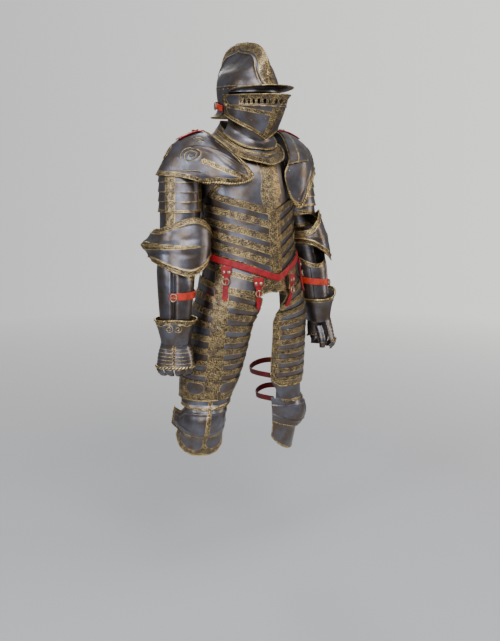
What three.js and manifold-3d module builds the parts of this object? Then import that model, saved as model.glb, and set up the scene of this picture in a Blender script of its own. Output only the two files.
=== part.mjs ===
// A suit of field armour: helmet with a strapped face plate, collar, breast and back of sliding lames,
// long laminated tassets with knee pieces, arm defences and gauntlets, and their red leather straps.
// Millimetres. Heights in the tables are above the soles; the whole group is then lowered so that the
// origin lies between the shoulders. The wearer faces -Y, and the wearer's left is +X.
import * as THREE from "three";
import Module from "manifold-3d";
import { mergeVertices } from "three/addons/utils/BufferGeometryUtils.js";

const shoulderHeight = 1440;
const plate = 2; // thickness of a steel plate
const leather = 3; // thickness of a strap
const step = 4; // how far a lame's covering edge stands out over its neighbour's face
const overlap = 8; // how far neighbouring lames cover each other
const degree = Math.PI / 180;
const sides = [
  { name: "left", sign: 1 },
  { name: "right", sign: -1 },
];

const paint = {
  steel: { color: 0x4d4f5b, roughness: 0.42, metalness: 0.9 },
  gilt: { color: 0x8a7350, roughness: 0.45, metalness: 0.85 },
  leather: { color: 0xa0181c, roughness: 0.7, metalness: 0 },
};

const armour = new THREE.Group();
armour.position.z = -shoulderHeight;

// ---- small helpers --------------------------------------------------------------------------------

const mix = (a, b, t) => a + (b - a) * t;
const clamp01 = (t) => Math.min(1, Math.max(0, t));
const ease = (t) => clamp01(t) ** 2 * (3 - 2 * clamp01(t));
const steps = (from, to, count) =>
  Array.from({ length: count + 1 }, (_, i) => mix(from, to, i / count));

// A column of a table at a place between its rows, on a smooth curve through them.
function along(rows, key, column, at) {
  const last = rows.length - 1;
  const rising = rows[last][key] > rows[0][key];
  const behind = rows.filter((row) => (rising ? row[key] <= at : row[key] >= at)).length - 1;
  const i = Math.max(0, Math.min(last - 1, behind));
  const [a, b] = [rows[i], rows[i + 1]];
  const span = b[key] - a[key];
  const t = clamp01((at - a[key]) / span);
  const slope = (j) => {
    const [p, q] = [rows[Math.max(0, j - 1)], rows[Math.min(last, j + 1)]];
    return ((q[column] - p[column]) / (q[key] - p[key])) * span;
  };
  const [t2, t3] = [t * t, t * t * t];
  return (
    a[column] * (2 * t3 - 3 * t2 + 1) +
    b[column] * (3 * t2 - 2 * t3) +
    slope(i) * (t3 - 2 * t2 + t) +
    slope(i + 1) * (t3 - t2)
  );
}

function geometryOf(points, triangles) {
  const geometry = new THREE.BufferGeometry();
  geometry.setAttribute("position", new THREE.Float32BufferAttribute(points.flat(), 3));
  const volume = triangles.reduce((sum, corners) => {
    const [p, q, r] = corners.map((i) => new THREE.Vector3(...points[i]));
    return sum + p.dot(q.cross(r));
  }, 0);
  geometry.setIndex(triangles.flatMap(([a, b, c]) => (volume < 0 ? [a, c, b] : [a, b, c])));
  return geometry;
}

// A closed body from a row of closed rings of points. Its two ends are closed by fans, unless the last
// ring joins up with the first.
function ringBody(rings, joined = false) {
  const n = rings[0].length;
  const points = rings.flat().map((p) => p.toArray());
  const triangles = [];
  for (let k = 0; k < (joined ? rings.length : rings.length - 1); k += 1) {
    for (let i = 0; i < n; i += 1) {
      const [a, b] = [k * n + i, k * n + ((i + 1) % n)];
      const next = ((k + 1) % rings.length) * n;
      const [c, d] = [next + i, next + ((i + 1) % n)];
      triangles.push([a, b, d], [a, d, c]);
    }
  }
  if (!joined) {
    const end = (rings.length - 1) * n;
    for (let i = 1; i < n - 1; i += 1) {
      triangles.push([0, i + 1, i], [end, end + i, end + i + 1]);
    }
  }
  return geometryOf(points, triangles);
}

// A form gives a point for two coordinates. Raised, it also takes how far out along its normal to go.
function raised(form, facing = 1) {
  const h = 0.01;
  return (a, b, out) => {
    const da = form(a + h, b).sub(form(a - h, b));
    const db = form(a, b + h * 20).sub(form(a, b - h * 20));
    return form(a, b).addScaledVector(da.cross(db).normalize(), out * facing);
  };
}

// A plate over a skin(u, v, out). At each u its section runs down the outer face and back up the inner
// face; a plate that goes all the way round is joined up.
function plateGeometry({ skin, across, down, outer, wall = plate, round = false }) {
  const rings = across.map((u) => [
    ...down.map((v) => skin(u, v, outer(v, u))),
    ...down.map((v) => skin(u, v, outer(v, u) - wall)).reverse(),
  ]);
  return ringBody(rings, round);
}

function add(name, geometry, finish = "steel") {
  const mesh = new THREE.Mesh(geometry, new THREE.MeshStandardMaterial(paint[finish]));
  mesh.name = name;
  armour.add(mesh);
}

// Lames made as one body: places down it, and how far out each place is. Where the upper edges cover,
// each lame starts high and falls; where the lower edges cover, it starts low and rises.
function stepped(count, base, covering = "upper") {
  const [high, low] = [base + step, base];
  const down = [];
  const outs = [];
  for (let i = 0; i < count; i += 1) {
    down.push(i / count, (i + 1) / count - (i + 1 < count ? 0.025 : 0));
    outs.push(...(covering === "upper" ? [high, low] : [low, high]));
  }
  return { down, outer: (v) => outs[down.indexOf(v)] };
}

const wasm = await Module();
wasm.setup();

function solidOf(geometry) {
  const bare = geometry.toNonIndexed();
  const merged = mergeVertices(bare, 1e-3);
  return new wasm.Manifold(
    new wasm.Mesh({
      numProp: 3,
      vertProperties: merged.attributes.position.array,
      triVerts: new Uint32Array(merged.index.array),
    }),
  );
}

function geometryFrom(solid) {
  const { numProp, vertProperties, triVerts } = solid.getMesh();
  const points = [];
  for (let i = 0; i < vertProperties.length; i += numProp) {
    points.push(Array.from(vertProperties.slice(i, i + 3)));
  }
  const triangles = [];
  for (let i = 0; i < triVerts.length; i += 3) {
    triangles.push(Array.from(triVerts.slice(i, i + 3)));
  }
  return geometryOf(points, triangles);
}

// ---- trunk ----------------------------------------------------------------------------------------

// Sections of the trunk: the place of its middle, half its width, how far its front ridge and its back
// lie from the middle, and how far the ridge stands out from the round of the chest.
const trunk = [
  { z: 930, middle: 2, half: 200, front: 150, back: 146, ridge: 8 },
  { z: 990, middle: 2, half: 190, front: 156, back: 136, ridge: 16 },
  { z: 1040, middle: 2, half: 178, front: 161, back: 128, ridge: 26 },
  { z: 1100, middle: 5, half: 172, front: 163, back: 128, ridge: 30 },
  { z: 1170, middle: 10, half: 170, front: 163, back: 134, ridge: 32 },
  { z: 1260, middle: 18, half: 170, front: 160, back: 140, ridge: 28 },
  { z: 1330, middle: 26, half: 168, front: 157, back: 140, ridge: 18 },
  { z: 1400, middle: 32, half: 152, front: 146, back: 132, ridge: 8 },
  { z: 1450, middle: 38, half: 122, front: 126, back: 114, ridge: 2 },
  { z: 1490, middle: 42, half: 98, front: 108, back: 92, ridge: 0 },
  { z: 1540, middle: 42, half: 86, front: 100, back: 80, ridge: 0 },
];
const ridgeReach = 60 * degree; // how far round the front ridge fades away

// A point of an oval section with a front ridge. angle 0 is the front and grows towards the left.
function sectionPoint(rows, angle, z, power = 2.2) {
  const at = (column) => along(rows, "z", column, z);
  const [s, c] = [Math.sin(angle), Math.cos(angle)];
  const depth = c >= 0 ? at("front") - at("ridge") : at("back");
  const reach =
    (Math.abs(s / at("half")) ** power + Math.abs(c / depth) ** power) ** (-1 / power);
  const turned = Math.abs(Math.atan2(s, c));
  const r = reach + at("ridge") * Math.max(0, 1 - turned / ridgeReach) ** 2;
  return new THREE.Vector3(r * s, at("middle") - r * c, z);
}
const trunkForm = raised((angle, z) => sectionPoint(trunk, angle, z));

// How far round the breast reaches on each side, cut back by the armholes.
const breastSide = [
  { z: 900, reach: 97 },
  { z: 1265, reach: 97 },
  { z: 1305, reach: 91 },
  { z: 1335, reach: 77 },
  { z: 1365, reach: 65 },
  { z: 1400, reach: 55 },
  { z: 1450, reach: 46 },
];
const backReach = 80; // the back meets the breast at the sides

const waistRise = 84; // how much higher a lame's edge is at the side than at the front ridge
const riseOf = (u) => waistRise * (1 - (1 - Math.abs(u)) ** 1.3);
const sideAt = (z) => along(breastSide, "z", "reach", z);

// u runs from -1 at the wearer's right side to 1 at the left, v down the plate.
const breastSkin = (top, bottom) => (u, v, out) => {
  const z = mix(top(u), bottom(u), v);
  return trunkForm(u * sideAt(z) * degree, z, out);
};
const backSkin = (top, bottom) => (u, v, out) => {
  const z = mix(top(u), bottom(u), v);
  return trunkForm((180 + u * Math.min(backReach, sideAt(z))) * degree, z, out);
};

const halfSteps = [-1, -0.86, -0.72, -0.57, -0.42, -0.28, -0.14];
const acrossBreast = [...halfSteps, 0, ...halfSteps.map((u) => -u).reverse()];
const upperCovers = (v) => plate + (step + 0.3) * (1 - v);

const breastEdges = [1266, 1220, 1172, 1129, 1088, 1044]; // upper edges at the front ridge
const breastFoot = 1030;
add(
  "breast_top",
  plateGeometry({
    skin: breastSkin(
      (u) => 1424 + 26 * Math.abs(u),
      (u) => breastEdges[0] + riseOf(u) * 0.72 - overlap,
    ),
    across: acrossBreast,
    down: steps(0, 1, 4),
    outer: () => plate,
  }),
);
breastEdges.forEach((edge, i) => {
  const next = i + 1 < breastEdges.length ? breastEdges[i + 1] - overlap : breastFoot - 6;
  const slant = (j) => mix(0.72, 1, j / (breastEdges.length - 1));
  add(
    `breast_lame_${i + 1}`,
    plateGeometry({
      skin: breastSkin(
        (u) => edge + riseOf(u) * slant(i),
        (u) => next + riseOf(u) * slant(Math.min(i + 1, breastEdges.length - 1)),
      ),
      across: acrossBreast,
      down: [0, 1],
      outer: (v) => upperCovers(v) + (i === 0 ? 2.1 : i === 5 ? 0.4 : 0) * (1 - v),
    }),
  );
});

const backEdges = [1300, 1236, 1176, 1126];
const backFoot = 1084;
const acrossBack = steps(-1, 1, 12);
add(
  "back_top",
  plateGeometry({
    skin: backSkin((u) => 1526 - 70 * u * u, () => backEdges[0] - overlap),
    across: acrossBack,
    down: steps(0, 1, 4),
    outer: () => plate,
  }),
);
backEdges.forEach((edge, i) => {
  const next = i + 1 < backEdges.length ? backEdges[i + 1] - overlap : backFoot;
  add(
    `back_lame_${i + 1}`,
    plateGeometry({
      skin: backSkin(() => edge, () => next),
      across: acrossBack,
      down: [0, 1],
      outer: upperCovers,
    }),
  );
});

// ---- waist belt and skirt -------------------------------------------------------------------------

const beltWidth = 22;
const beltClear = 10.4; // outer face of the belt above the trunk's form
// The belt is lowest at the front ridge and rises towards the sides.
const beltHeight = (angle) => {
  const u = Math.min(1, Math.abs(angle) / (97 * degree));
  return 1034 + 74 * (1 - (1 - u) ** 1.3);
};
add(
  "belt",
  plateGeometry({
    skin: (angle, v, out) => trunkForm(angle, beltHeight(angle) + beltWidth * (0.5 - v), out),
    across: steps(-Math.PI, Math.PI, 32).slice(0, -1),
    down: [0, 1],
    outer: () => beltClear,
    wall: leather,
    round: true,
  }),
  "leather",
);

// The skirt lame hangs from the foot of the breast, arched between the legs.
const skirtRise = (u) => 70 * (1 - (1 - Math.abs(u)) ** 1.3);
const arch = (u) => 28 * Math.max(0, 1 - (Math.abs(u) / 0.24) ** 2);
add(
  "skirt_lame",
  plateGeometry({
    skin: breastSkin(
      (u) => 1018 + skirtRise(u),
      (u) => 955 + 0.75 * skirtRise(u) + arch(u),
    ),
    across: acrossBreast,
    down: [0, 1],
    outer: (v) => mix(2, 3, v),
  }),
);
add(
  "rump_lame",
  plateGeometry({
    skin: backSkin(() => 1078, () => 1010),
    across: acrossBack,
    down: [0, 1],
    outer: () => 1.6,
  }),
);

// ---- legs -----------------------------------------------------------------------------------------

// The stance: where the middle of each leg is at each height, and how far it is turned outwards.
const legPaths = {
  right: [
    { z: 380, x: 190, y: 54, turn: 19 },
    { z: 540, x: 185, y: 40, turn: 19 },
    { z: 720, x: 145, y: 26, turn: 22 },
    { z: 980, x: 98, y: 4, turn: 22 },
  ],
  left: [
    { z: 330, x: 131, y: 38, turn: 48 },
    { z: 500, x: 137, y: 20, turn: 48 },
    { z: 720, x: 119, y: 14, turn: 40 },
    { z: 980, x: 98, y: 4, turn: 25 },
  ],
};
// Sizes of the leg plates, by height above the knee.
const legSizes = [
  { z: -150, middle: 0, half: 76, front: 68, back: 66, ridge: 0 },
  { z: -70, middle: 0, half: 80, front: 76, back: 76, ridge: 0 },
  { z: 0, middle: 0, half: 82, front: 80, back: 80, ridge: 0 },
  { z: 80, middle: 0, half: 88, front: 88, back: 88, ridge: 0 },
  { z: 150, middle: 0, half: 98, front: 98, back: 96, ridge: 0 },
  { z: 250, middle: 0, half: 104, front: 108, back: 104, ridge: 0 },
  { z: 450, middle: 0, half: 108, front: 122, back: 112, ridge: 0 },
];
const legs = {
  right: { knee: 532, hem: 652, foot: 121 },
  left: { knee: 500, hem: 618, foot: 141 },
};

// A point of the leg: angle 0 is the front of the leg, growing outwards.
function legPoint(side, angle, z) {
  const path = legPaths[side.name];
  const at = (column) => along(path, "z", column, z);
  const p = sectionPoint(legSizes, angle, z - legs[side.name].knee, 2.1);
  p.z = z;
  p.applyAxisAngle(new THREE.Vector3(0, 0, 1), at("turn") * degree);
  p.x = (p.x + at("x")) * side.sign;
  p.y += at("y");
  return p;
}

const tassetTop = 968;
const tassetLames = [2, 3, 3, 2]; // lames in each body
const tassetBlend = { from: 985, to: 850 }; // over these heights the hip turns into the leg
const innerReach = [
  { z: 600, reach: 92 },
  { z: 700, reach: 84 },
  { z: 835, reach: 70 },
  { z: 980, reach: 60 },
];

// u runs from -1 at the inner edge to 1 at the outer edge.
function tassetPoint(side, u, z) {
  const t = ease((tassetBlend.from - z) / (tassetBlend.from - tassetBlend.to));
  const inner = along(innerReach, "z", "reach", z);
  const hip = sectionPoint(trunk, mix(20, 112, (u + 1) / 2) * degree, z);
  hip.x *= side.sign;
  const leg = legPoint(side, mix(-inner, 96, (u + 1) / 2) * degree, z);
  return hip.lerp(leg, t);
}
const tassetRise = (u, share) => 66 * (1 - clamp01(share * 1.7)) * (1 - ((1 - u) / 2) ** 1.4);

for (const side of sides) {
  const { hem } = legs[side.name];
  const count = tassetLames.reduce((a, b) => a + b, 0);
  const form = raised((u, z) => tassetPoint(side, u, z), side.sign);
  let first = 0;
  tassetLames.forEach((lames, k) => {
    const [from, to] = [first / count, (first + lames) / count];
    const edge = (u, share) => mix(tassetTop, hem, share) + tassetRise(u, share);
    const last = k === tassetLames.length - 1;
    const { down, outer } = stepped(lames, [5, 5.9, 5.8, 6][k]);
    add(
      `${side.name}_tasset_${k + 1}`,
      plateGeometry({
        skin: (u, v, out) =>
          form(u, mix(edge(u, from), edge(u, to) - (last ? 0 : overlap), v), out),
        across: steps(-1, 1, 9),
        down,
        outer,
      }),
    );
    first += lames;
  });

  // A strap from the skirt lame to the tasset, and one round the back of the thigh.
  add(
    `${side.name}_tasset_strap`,
    plateGeometry({
      skin: (v, u, out) => form(-0.87 + 0.13 * (u - 0.5), mix(1010, 912, v), out),
      across: steps(0, 1, 5),
      down: [0, 1],
      outer: () => 15,
      wall: leather,
    }),
    "leather",
  );
  const leg = raised((angle, z) => legPoint(side, angle, z), side.sign);
  add(
    `${side.name}_thigh_strap`,
    plateGeometry({
      skin: (u, v, out) => leg(mix(84, 270, u) * degree, hem + 48 + 10 * (1 - 2 * v) - 8 * u, out),
      across: steps(0, 1, 10),
      down: [0, 1],
      outer: () => -3,
      wall: leather,
    }),
    "leather",
  );

  // Knee: a plate under the tasset, the cup with its side wing, and a shield-shaped plate below.
  const { knee, foot } = legs[side.name];
  const kneeCup = (angle, h) => {
    const bulge = Math.max(0, 1 - (angle / (60 * degree)) ** 2) * Math.max(0, 1 - (h / 62) ** 2);
    return 24 * bulge ** 1.2;
  };
  const kneeForm = raised((angle, z) => {
    const p = legPoint(side, angle, z);
    const centre = legPoint(side, angle + Math.PI, z).lerp(p, 0.5);
    const outward = p.clone().sub(centre).normalize();
    return p.addScaledVector(outward, kneeCup(angle, z - knee));
  }, side.sign);
  const kneePlate = (name, top, bottom, reach, outer, down = steps(0, 1, 4)) =>
    add(
      `${side.name}_${name}`,
      plateGeometry({
        skin: (u, v, out) => kneeForm(u * reach(v) * degree, mix(top(u), bottom(u), v), out),
        across: steps(-1, 1, 10),
        down,
        outer,
      }),
    );
  kneePlate(
    "knee_upper",
    () => hem + 22,
    (u) => knee + 46 + 14 * u * u,
    (v) => mix(92, 70, v),
    (v) => mix(-1.5, 8, v ** 1.5),
    [0, 0.25, 0.6, 0.8, 1],
  );
  kneePlate(
    "knee_cup",
    (u) => knee + 58 + 14 * u * u - 34 * ease((Math.abs(u) - 0.5) / 0.3),
    (u) => knee - 52 + 30 * u * u,
    () => 96,
    (v, u) => mix(3, 7.6, v) + 12 * ease((u - 0.77) / 0.23),
  );
  kneePlate(
    "knee_lower",
    (u) => knee - 40 + 30 * u * u,
    (u) => knee - foot + 62 * Math.abs(u) ** 2.6,
    (v) => mix(68, 94, v),
    (v) => mix(1, 3, v),
    [0, 0.15, 0.3, 0.6, 1],
  );
}

// ---- arms -----------------------------------------------------------------------------------------

// The middle of each arm at each height.
const armPaths = {
  right: [
    { z: 690, x: 317, y: -8 },
    { z: 880, x: 308, y: 2 },
    { z: 1030, x: 297, y: 15 },
    { z: 1132, x: 284, y: 32 },
    { z: 1240, x: 260, y: 50 },
    { z: 1400, x: 248, y: 64 },
  ],
  left: [
    { z: 690, x: 322, y: -31 },
    { z: 880, x: 307, y: -4 },
    { z: 1030, x: 295, y: 17 },
    { z: 1132, x: 282, y: 34 },
    { z: 1240, x: 261, y: 56 },
    { z: 1400, x: 246, y: 64 },
  ],
};
const armSizes = [
  { z: 870, middle: 0, half: 46, front: 46, back: 46, ridge: 0 },
  { z: 960, middle: 0, half: 55, front: 54, back: 54, ridge: 0 },
  { z: 1060, middle: 0, half: 62, front: 60, back: 60, ridge: 0 },
  { z: 1120, middle: 0, half: 60, front: 60, back: 60, ridge: 0 },
  { z: 1180, middle: 0, half: 66, front: 66, back: 66, ridge: 0 },
  { z: 1260, middle: 0, half: 72, front: 72, back: 72, ridge: 0 },
  { z: 1420, middle: 0, half: 74, front: 74, back: 74, ridge: 0 },
];
const armMiddle = (side, z) =>
  new THREE.Vector3(
    along(armPaths[side.name], "z", "x", z) * side.sign,
    along(armPaths[side.name], "z", "y", z),
    z,
  );
// A point of the arm: angle 0 is the front of the arm, growing outwards.
function armPoint(side, angle, z) {
  const p = sectionPoint(armSizes, angle, z, 2);
  const middle = armMiddle(side, z);
  return new THREE.Vector3(p.x * side.sign + middle.x, p.y + middle.y, z);
}

// Points of the shoulder plate, from its neck edge out to the arm. Each row goes from the foot of the
// chest wing, over the shoulder, to the foot of the back wing.
const shoulderRows = [
  [[92, -113, 1341], [68, -113, 1380], [110, -84, 1444], [160, 50, 1532], [112, 140, 1466], [96, 168, 1350]],
  [[150, -112, 1341], [150, -118, 1386], [180, -78, 1460], [214, 50, 1522], [174, 146, 1472], [160, 164, 1350]],
  [[200, -88, 1350], [216, -86, 1390], [248, -38, 1450], [280, 54, 1484], [244, 130, 1452], [218, 146, 1354]],
  [[228, -52, 1362], [256, -42, 1370], [296, -8, 1380], [336, 60, 1386], [302, 128, 1382], [240, 146, 1362]],
];

// A smooth surface through rows of points; u runs along the rows and v from row to row, both 0 to 1.
function net(rows) {
  const curve = (points, t) => {
    const keyed = points.map((p, i) => ({ t: i / (points.length - 1), x: p.x, y: p.y, z: p.z }));
    return new THREE.Vector3(...["x", "y", "z"].map((axis) => along(keyed, "t", axis, t)));
  };
  return (u, v) => curve(rows.map((row) => curve(row, u)), v);
}

// The elbow piece, a closed ring: by angle round the arm from its point towards the front, how far out
// its ridge and its edges lie, and how far it spreads above and below the ridge.
const elbowHeight = 1140;
const elbowPoint = { right: 126, left: 168 }; // direction of its point, from the front outwards
const elbowRows = [
  { turn: -40, ridge: 92, edge: 79, spread: 45 },
  { turn: -18, ridge: 114, edge: 81, spread: 49 },
  { turn: 0, ridge: 132, edge: 83, spread: 50 },
  { turn: 20, ridge: 110, edge: 81, spread: 51 },
  { turn: 45, ridge: 91, edge: 79, spread: 57 },
  { turn: 90, ridge: 84, edge: 79, spread: 80 },
  { turn: 125, ridge: 89, edge: 84, spread: 94 },
  { turn: 150, ridge: 102, edge: 95, spread: 84 },
  { turn: 172, ridge: 114, edge: 108, spread: 54 },
  { turn: 190, ridge: 112, edge: 108, spread: 30 },
  { turn: 215, ridge: 98, edge: 95, spread: 20 },
  { turn: 250, ridge: 84, edge: 82, spread: 24 },
  { turn: 290, ridge: 82, edge: 79, spread: 38 },
  { turn: 320, ridge: 92, edge: 79, spread: 45 },
];
// Round the crook of the elbow the tubes of the arm are cut back.
const crook = (side, angle) =>
  (0.5 - 0.5 * Math.cos(angle - elbowPoint[side.name] * degree)) ** 1.5;

const gauntletRows = [
  { z: 686, middle: 18, half: 48, front: 2, back: 20, ridge: 0 },
  { z: 697, middle: 10, half: 54, front: 24, back: 20, ridge: 0 },
  { z: 712, middle: 0, half: 59, front: 36, back: 30, ridge: 0 },
  { z: 722, middle: 0, half: 61, front: 41, back: 36, ridge: 0 },
  { z: 736, middle: 0, half: 59, front: 38, back: 36, ridge: 0 },
  { z: 772, middle: 0, half: 54, front: 40, back: 38, ridge: 0 },
  { z: 802, middle: 0, half: 47, front: 42, back: 40, ridge: 0 },
  { z: 850, middle: 0, half: 57, front: 53, back: 50, ridge: 0 },
  { z: 886, middle: 0, half: 70, front: 66, back: 60, ridge: 0 },
];
const thumbRows = [
  { z: 700, middle: 0, half: 7, front: 7, back: 7, ridge: 0, aside: 32 },
  { z: 725, middle: 0, half: 12, front: 12, back: 12, ridge: 0, aside: 38 },
  { z: 760, middle: 0, half: 14, front: 14, back: 14, ridge: 0, aside: 34 },
  { z: 790, middle: 0, half: 15, front: 15, back: 14, ridge: 0, aside: 26 },
];
const handTurn = 38; // the backs of the hands face this far outwards from the front
const handShift = { right: 0, left: 14 };

for (const side of sides) {
  const shoulderAt = net(
    shoulderRows.map((row) => row.map(([x, y, z]) => new THREE.Vector3(x * side.sign, y, z))),
  );
  const shoulder = raised((u, v) => shoulderAt(clamp01(u), clamp01(v)), -side.sign);
  add(
    `${side.name}_shoulder`,
    plateGeometry({
      skin: shoulder,
      across: steps(0, 1, 11),
      down: steps(0, 1, 5),
      outer: () => 2,
    }),
  );

  const arm = raised((angle, z) => armPoint(side, angle, z), side.sign);
  const bands = stepped(4, 0, "lower");
  add(
    `${side.name}_arm_lames`,
    plateGeometry({
      skin: (u, v, out) => arm((80 + u * 122) * degree, mix(1394, 1262, v), out),
      across: steps(-1, 1, 12),
      ...bands,
    }),
  );
  add(
    `${side.name}_upper_arm`,
    plateGeometry({
      skin: (u, v, out) => {
        const angle = u * 2 * Math.PI;
        return arm(angle, mix(1272, 1170 + 62 * crook(side, angle), v), out);
      },
      across: steps(0, 1, 16).slice(0, -1),
      down: [0, 1],
      outer: () => -2,
      round: true,
    }),
  );
  add(
    `${side.name}_lower_arm`,
    plateGeometry({
      skin: (u, v, out) => {
        const angle = u * 2 * Math.PI;
        return arm(angle, mix(1112 - 70 * crook(side, angle), 868, v), out);
      },
      across: steps(0, 1, 16).slice(0, -1),
      down: steps(0, 1, 2),
      outer: () => 2,
      round: true,
    }),
  );

  const elbow = raised((turn, h) => {
    const at = (column) => along(elbowRows, "turn", column, turn > 320 ? turn - 360 : turn);
    const share = h / 100;
    const r = mix(at("ridge"), at("edge"), Math.abs(share) ** 1.2);
    const angle = (elbowPoint[side.name] - turn) * degree;
    const z = elbowHeight + share * at("spread");
    const middle = armMiddle(side, z);
    return new THREE.Vector3(
      middle.x + r * Math.sin(angle) * side.sign,
      middle.y - r * Math.cos(angle),
      z,
    );
  }, -side.sign);
  add(
    `${side.name}_elbow`,
    plateGeometry({
      skin: (turn, v, out) => elbow(turn, mix(100, -100, v), out),
      across: [-50, -22, 0, 22, 50, 80, 108, 132, 152, 168, 184, 208, 238, 272],
      down: [0, 0.3, 0.5, 0.7, 1],
      outer: () => 2,
      round: true,
    }),
  );

  // Gauntlet: a cuff closed round the wrist, and lames over the back of the hand and the bent fingers.
  const hand = raised((angle, z) => {
    const p = sectionPoint(gauntletRows, angle, z - handShift[side.name], 2.3);
    p.applyAxisAngle(new THREE.Vector3(0, 0, 1), handTurn * degree);
    const middle = armMiddle(side, z);
    return new THREE.Vector3(p.x * side.sign + middle.x, p.y + middle.y, z);
  }, side.sign);
  const low = handShift[side.name];
  add(
    `${side.name}_cuff`,
    plateGeometry({
      skin: (u, v, out) => hand(u * 2 * Math.PI, mix(886, 798, v) + low, out),
      across: steps(0, 1, 14).slice(0, -1),
      down: steps(0, 1, 3),
      outer: () => 2,
      round: true,
    }),
  );
  const handPlaces = [806, 774, 742, 722, 706, 689];
  add(
    `${side.name}_hand`,
    plateGeometry({
      skin: (u, v, out) => hand(u * 98 * degree, handPlaces[v] + low, out),
      across: steps(-1, 1, 10),
      down: handPlaces.map((_, i) => i),
      outer: (v) => (v === 0 ? 7 : 3.5),
    }),
  );
  const thumb = raised((angle, z) => {
    const p = sectionPoint(thumbRows, angle, z - low, 2);
    p.applyAxisAngle(new THREE.Vector3(0, 0, 1), -110 * degree);
    p.x -= along(thumbRows, "z", "aside", z - low);
    p.y += 26;
    p.applyAxisAngle(new THREE.Vector3(0, 0, 1), handTurn * degree);
    const middle = armMiddle(side, z);
    return new THREE.Vector3(p.x * side.sign + middle.x, p.y + middle.y, z);
  }, side.sign);
  add(
    `${side.name}_thumb`,
    plateGeometry({
      skin: (u, v, out) => thumb(u * 105 * degree, mix(786, 706, v) + low, out),
      across: steps(-1, 1, 6),
      down: steps(0, 1, 4),
      outer: () => 2,
    }),
  );

  // Straps: over the shoulder plate, and round the lower tube of the arm.
  add(
    `${side.name}_shoulder_strap`,
    plateGeometry({
      skin: (v, u, out) => shoulder(0.62 + 0.07 * (u - 0.5), mix(0.03, 0.56, v), out),
      across: steps(0, 1, 5),
      down: [0, 1],
      outer: () => 9,
      wall: leather,
    }),
    "leather",
  );
  add(
    `${side.name}_arm_strap`,
    plateGeometry({
      skin: (u, v, out) => arm(mix(52, -110, u) * degree, 951 + 12 * (1 - 2 * v), out),
      across: steps(0, 1, 8),
      down: [0, 1],
      outer: () => 7.5,
      wall: leather,
    }),
    "leather",
  );
}

// ---- collar ---------------------------------------------------------------------------------------

// The collar's upper and lower edges by angle round the neck: both lie low in front and high behind.
const collarRows = [
  { turn: 0, upper: 1474, upperRadius: 88, lower: 1418, lowerRadius: 132 },
  { turn: 45, upper: 1486, upperRadius: 88, lower: 1442, lowerRadius: 126 },
  { turn: 90, upper: 1526, upperRadius: 92, lower: 1488, lowerRadius: 130 },
  { turn: 130, upper: 1566, upperRadius: 100, lower: 1508, lowerRadius: 150 },
  { turn: 180, upper: 1572, upperRadius: 108, lower: 1500, lowerRadius: 158 },
];
const neckMiddle = { x: 0, y: 8 };
function roundNeck(angle, radius, z) {
  return new THREE.Vector3(
    neckMiddle.x + radius * Math.sin(angle),
    neckMiddle.y - radius * Math.cos(angle),
    z,
  );
}
const collarAt = (column, angle) =>
  along(collarRows, "turn", column, Math.abs(Math.atan2(Math.sin(angle), Math.cos(angle))) / degree);
const collar = raised((angle, v) =>
  roundNeck(
    angle,
    mix(collarAt("upperRadius", angle), collarAt("lowerRadius", angle), v) - 7 * Math.sin(v * Math.PI),
    mix(collarAt("upper", angle), collarAt("lower", angle), v),
  ), -1);
add(
  "collar",
  plateGeometry({
    skin: collar,
    across: steps(-Math.PI, Math.PI, 24).slice(0, -1),
    down: [0, 0.3, 0.65, 1],
    outer: () => 2,
    round: true,
  }),
);

// ---- helmet ---------------------------------------------------------------------------------------

const head = { y: 8, turn: 6 }; // the middle of the helmet, and how far it is turned to the left
const onHead = (p) => {
  p.applyAxisAngle(new THREE.Vector3(0, 0, 1), head.turn * degree);
  p.y += head.y;
  return p;
};
// Sections of the skull piece up to the crest of its comb.
const skullRows = [
  { z: 1584, middle: 0, half: 108, front: 106, back: 156, ridge: 0 },
  { z: 1602, middle: 0, half: 98, front: 108, back: 130, ridge: 0 },
  { z: 1626, middle: 0, half: 98, front: 111, back: 121, ridge: 0 },
  { z: 1670, middle: 0, half: 100, front: 114, back: 127, ridge: 0 },
  { z: 1705, middle: 0, half: 96, front: 108, back: 130, ridge: 0 },
  { z: 1730, middle: 0, half: 84, front: 98, back: 131, ridge: 0 },
  { z: 1753, middle: 4, half: 61, front: 86, back: 127, ridge: 0 },
  { z: 1772, middle: 10, half: 43, front: 84, back: 122, ridge: 0 },
  { z: 1790, middle: 16, half: 30, front: 81, back: 114, ridge: 0 },
  { z: 1808, middle: 22, half: 21, front: 76, back: 96, ridge: 0 },
  { z: 1825, middle: 29, half: 15, front: 69, back: 73, ridge: 0 },
  { z: 1837, middle: 33, half: 10, front: 50, back: 45, ridge: 0 },
  { z: 1843, middle: 35, half: 5, front: 24, back: 20, ridge: 0 },
];
const skullPoint = (angle, z, wall = 0) => {
  const p = sectionPoint(skullRows, angle, z, 2.1);
  const flat = new THREE.Vector2(p.x, p.y);
  p.x -= (wall * flat.x) / flat.length();
  p.y -= (wall * flat.y) / flat.length();
  return onHead(p);
};
const skullHeights = skullRows.map((row) => row.z);
const aroundSkull = steps(-Math.PI, Math.PI, 20).slice(0, -1);
const skullSolid = (wall, heights) =>
  solidOf(ringBody(heights.map((z) => aroundSkull.map((angle) => skullPoint(angle, z, wall)))));
const faceBox = wasm.Manifold.cube([400, 226, 200], false)
  .translate([-200, -200, 1466])
  .rotate([0, 0, head.turn])
  .translate([0, head.y, 0]);
add(
  "helmet_skull",
  geometryFrom(
    skullSolid(0, skullHeights)
      .subtract(skullSolid(plate + 0.6, [1500, ...skullHeights.slice(1, -2)]))
      .subtract(faceBox),
  ),
);

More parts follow.
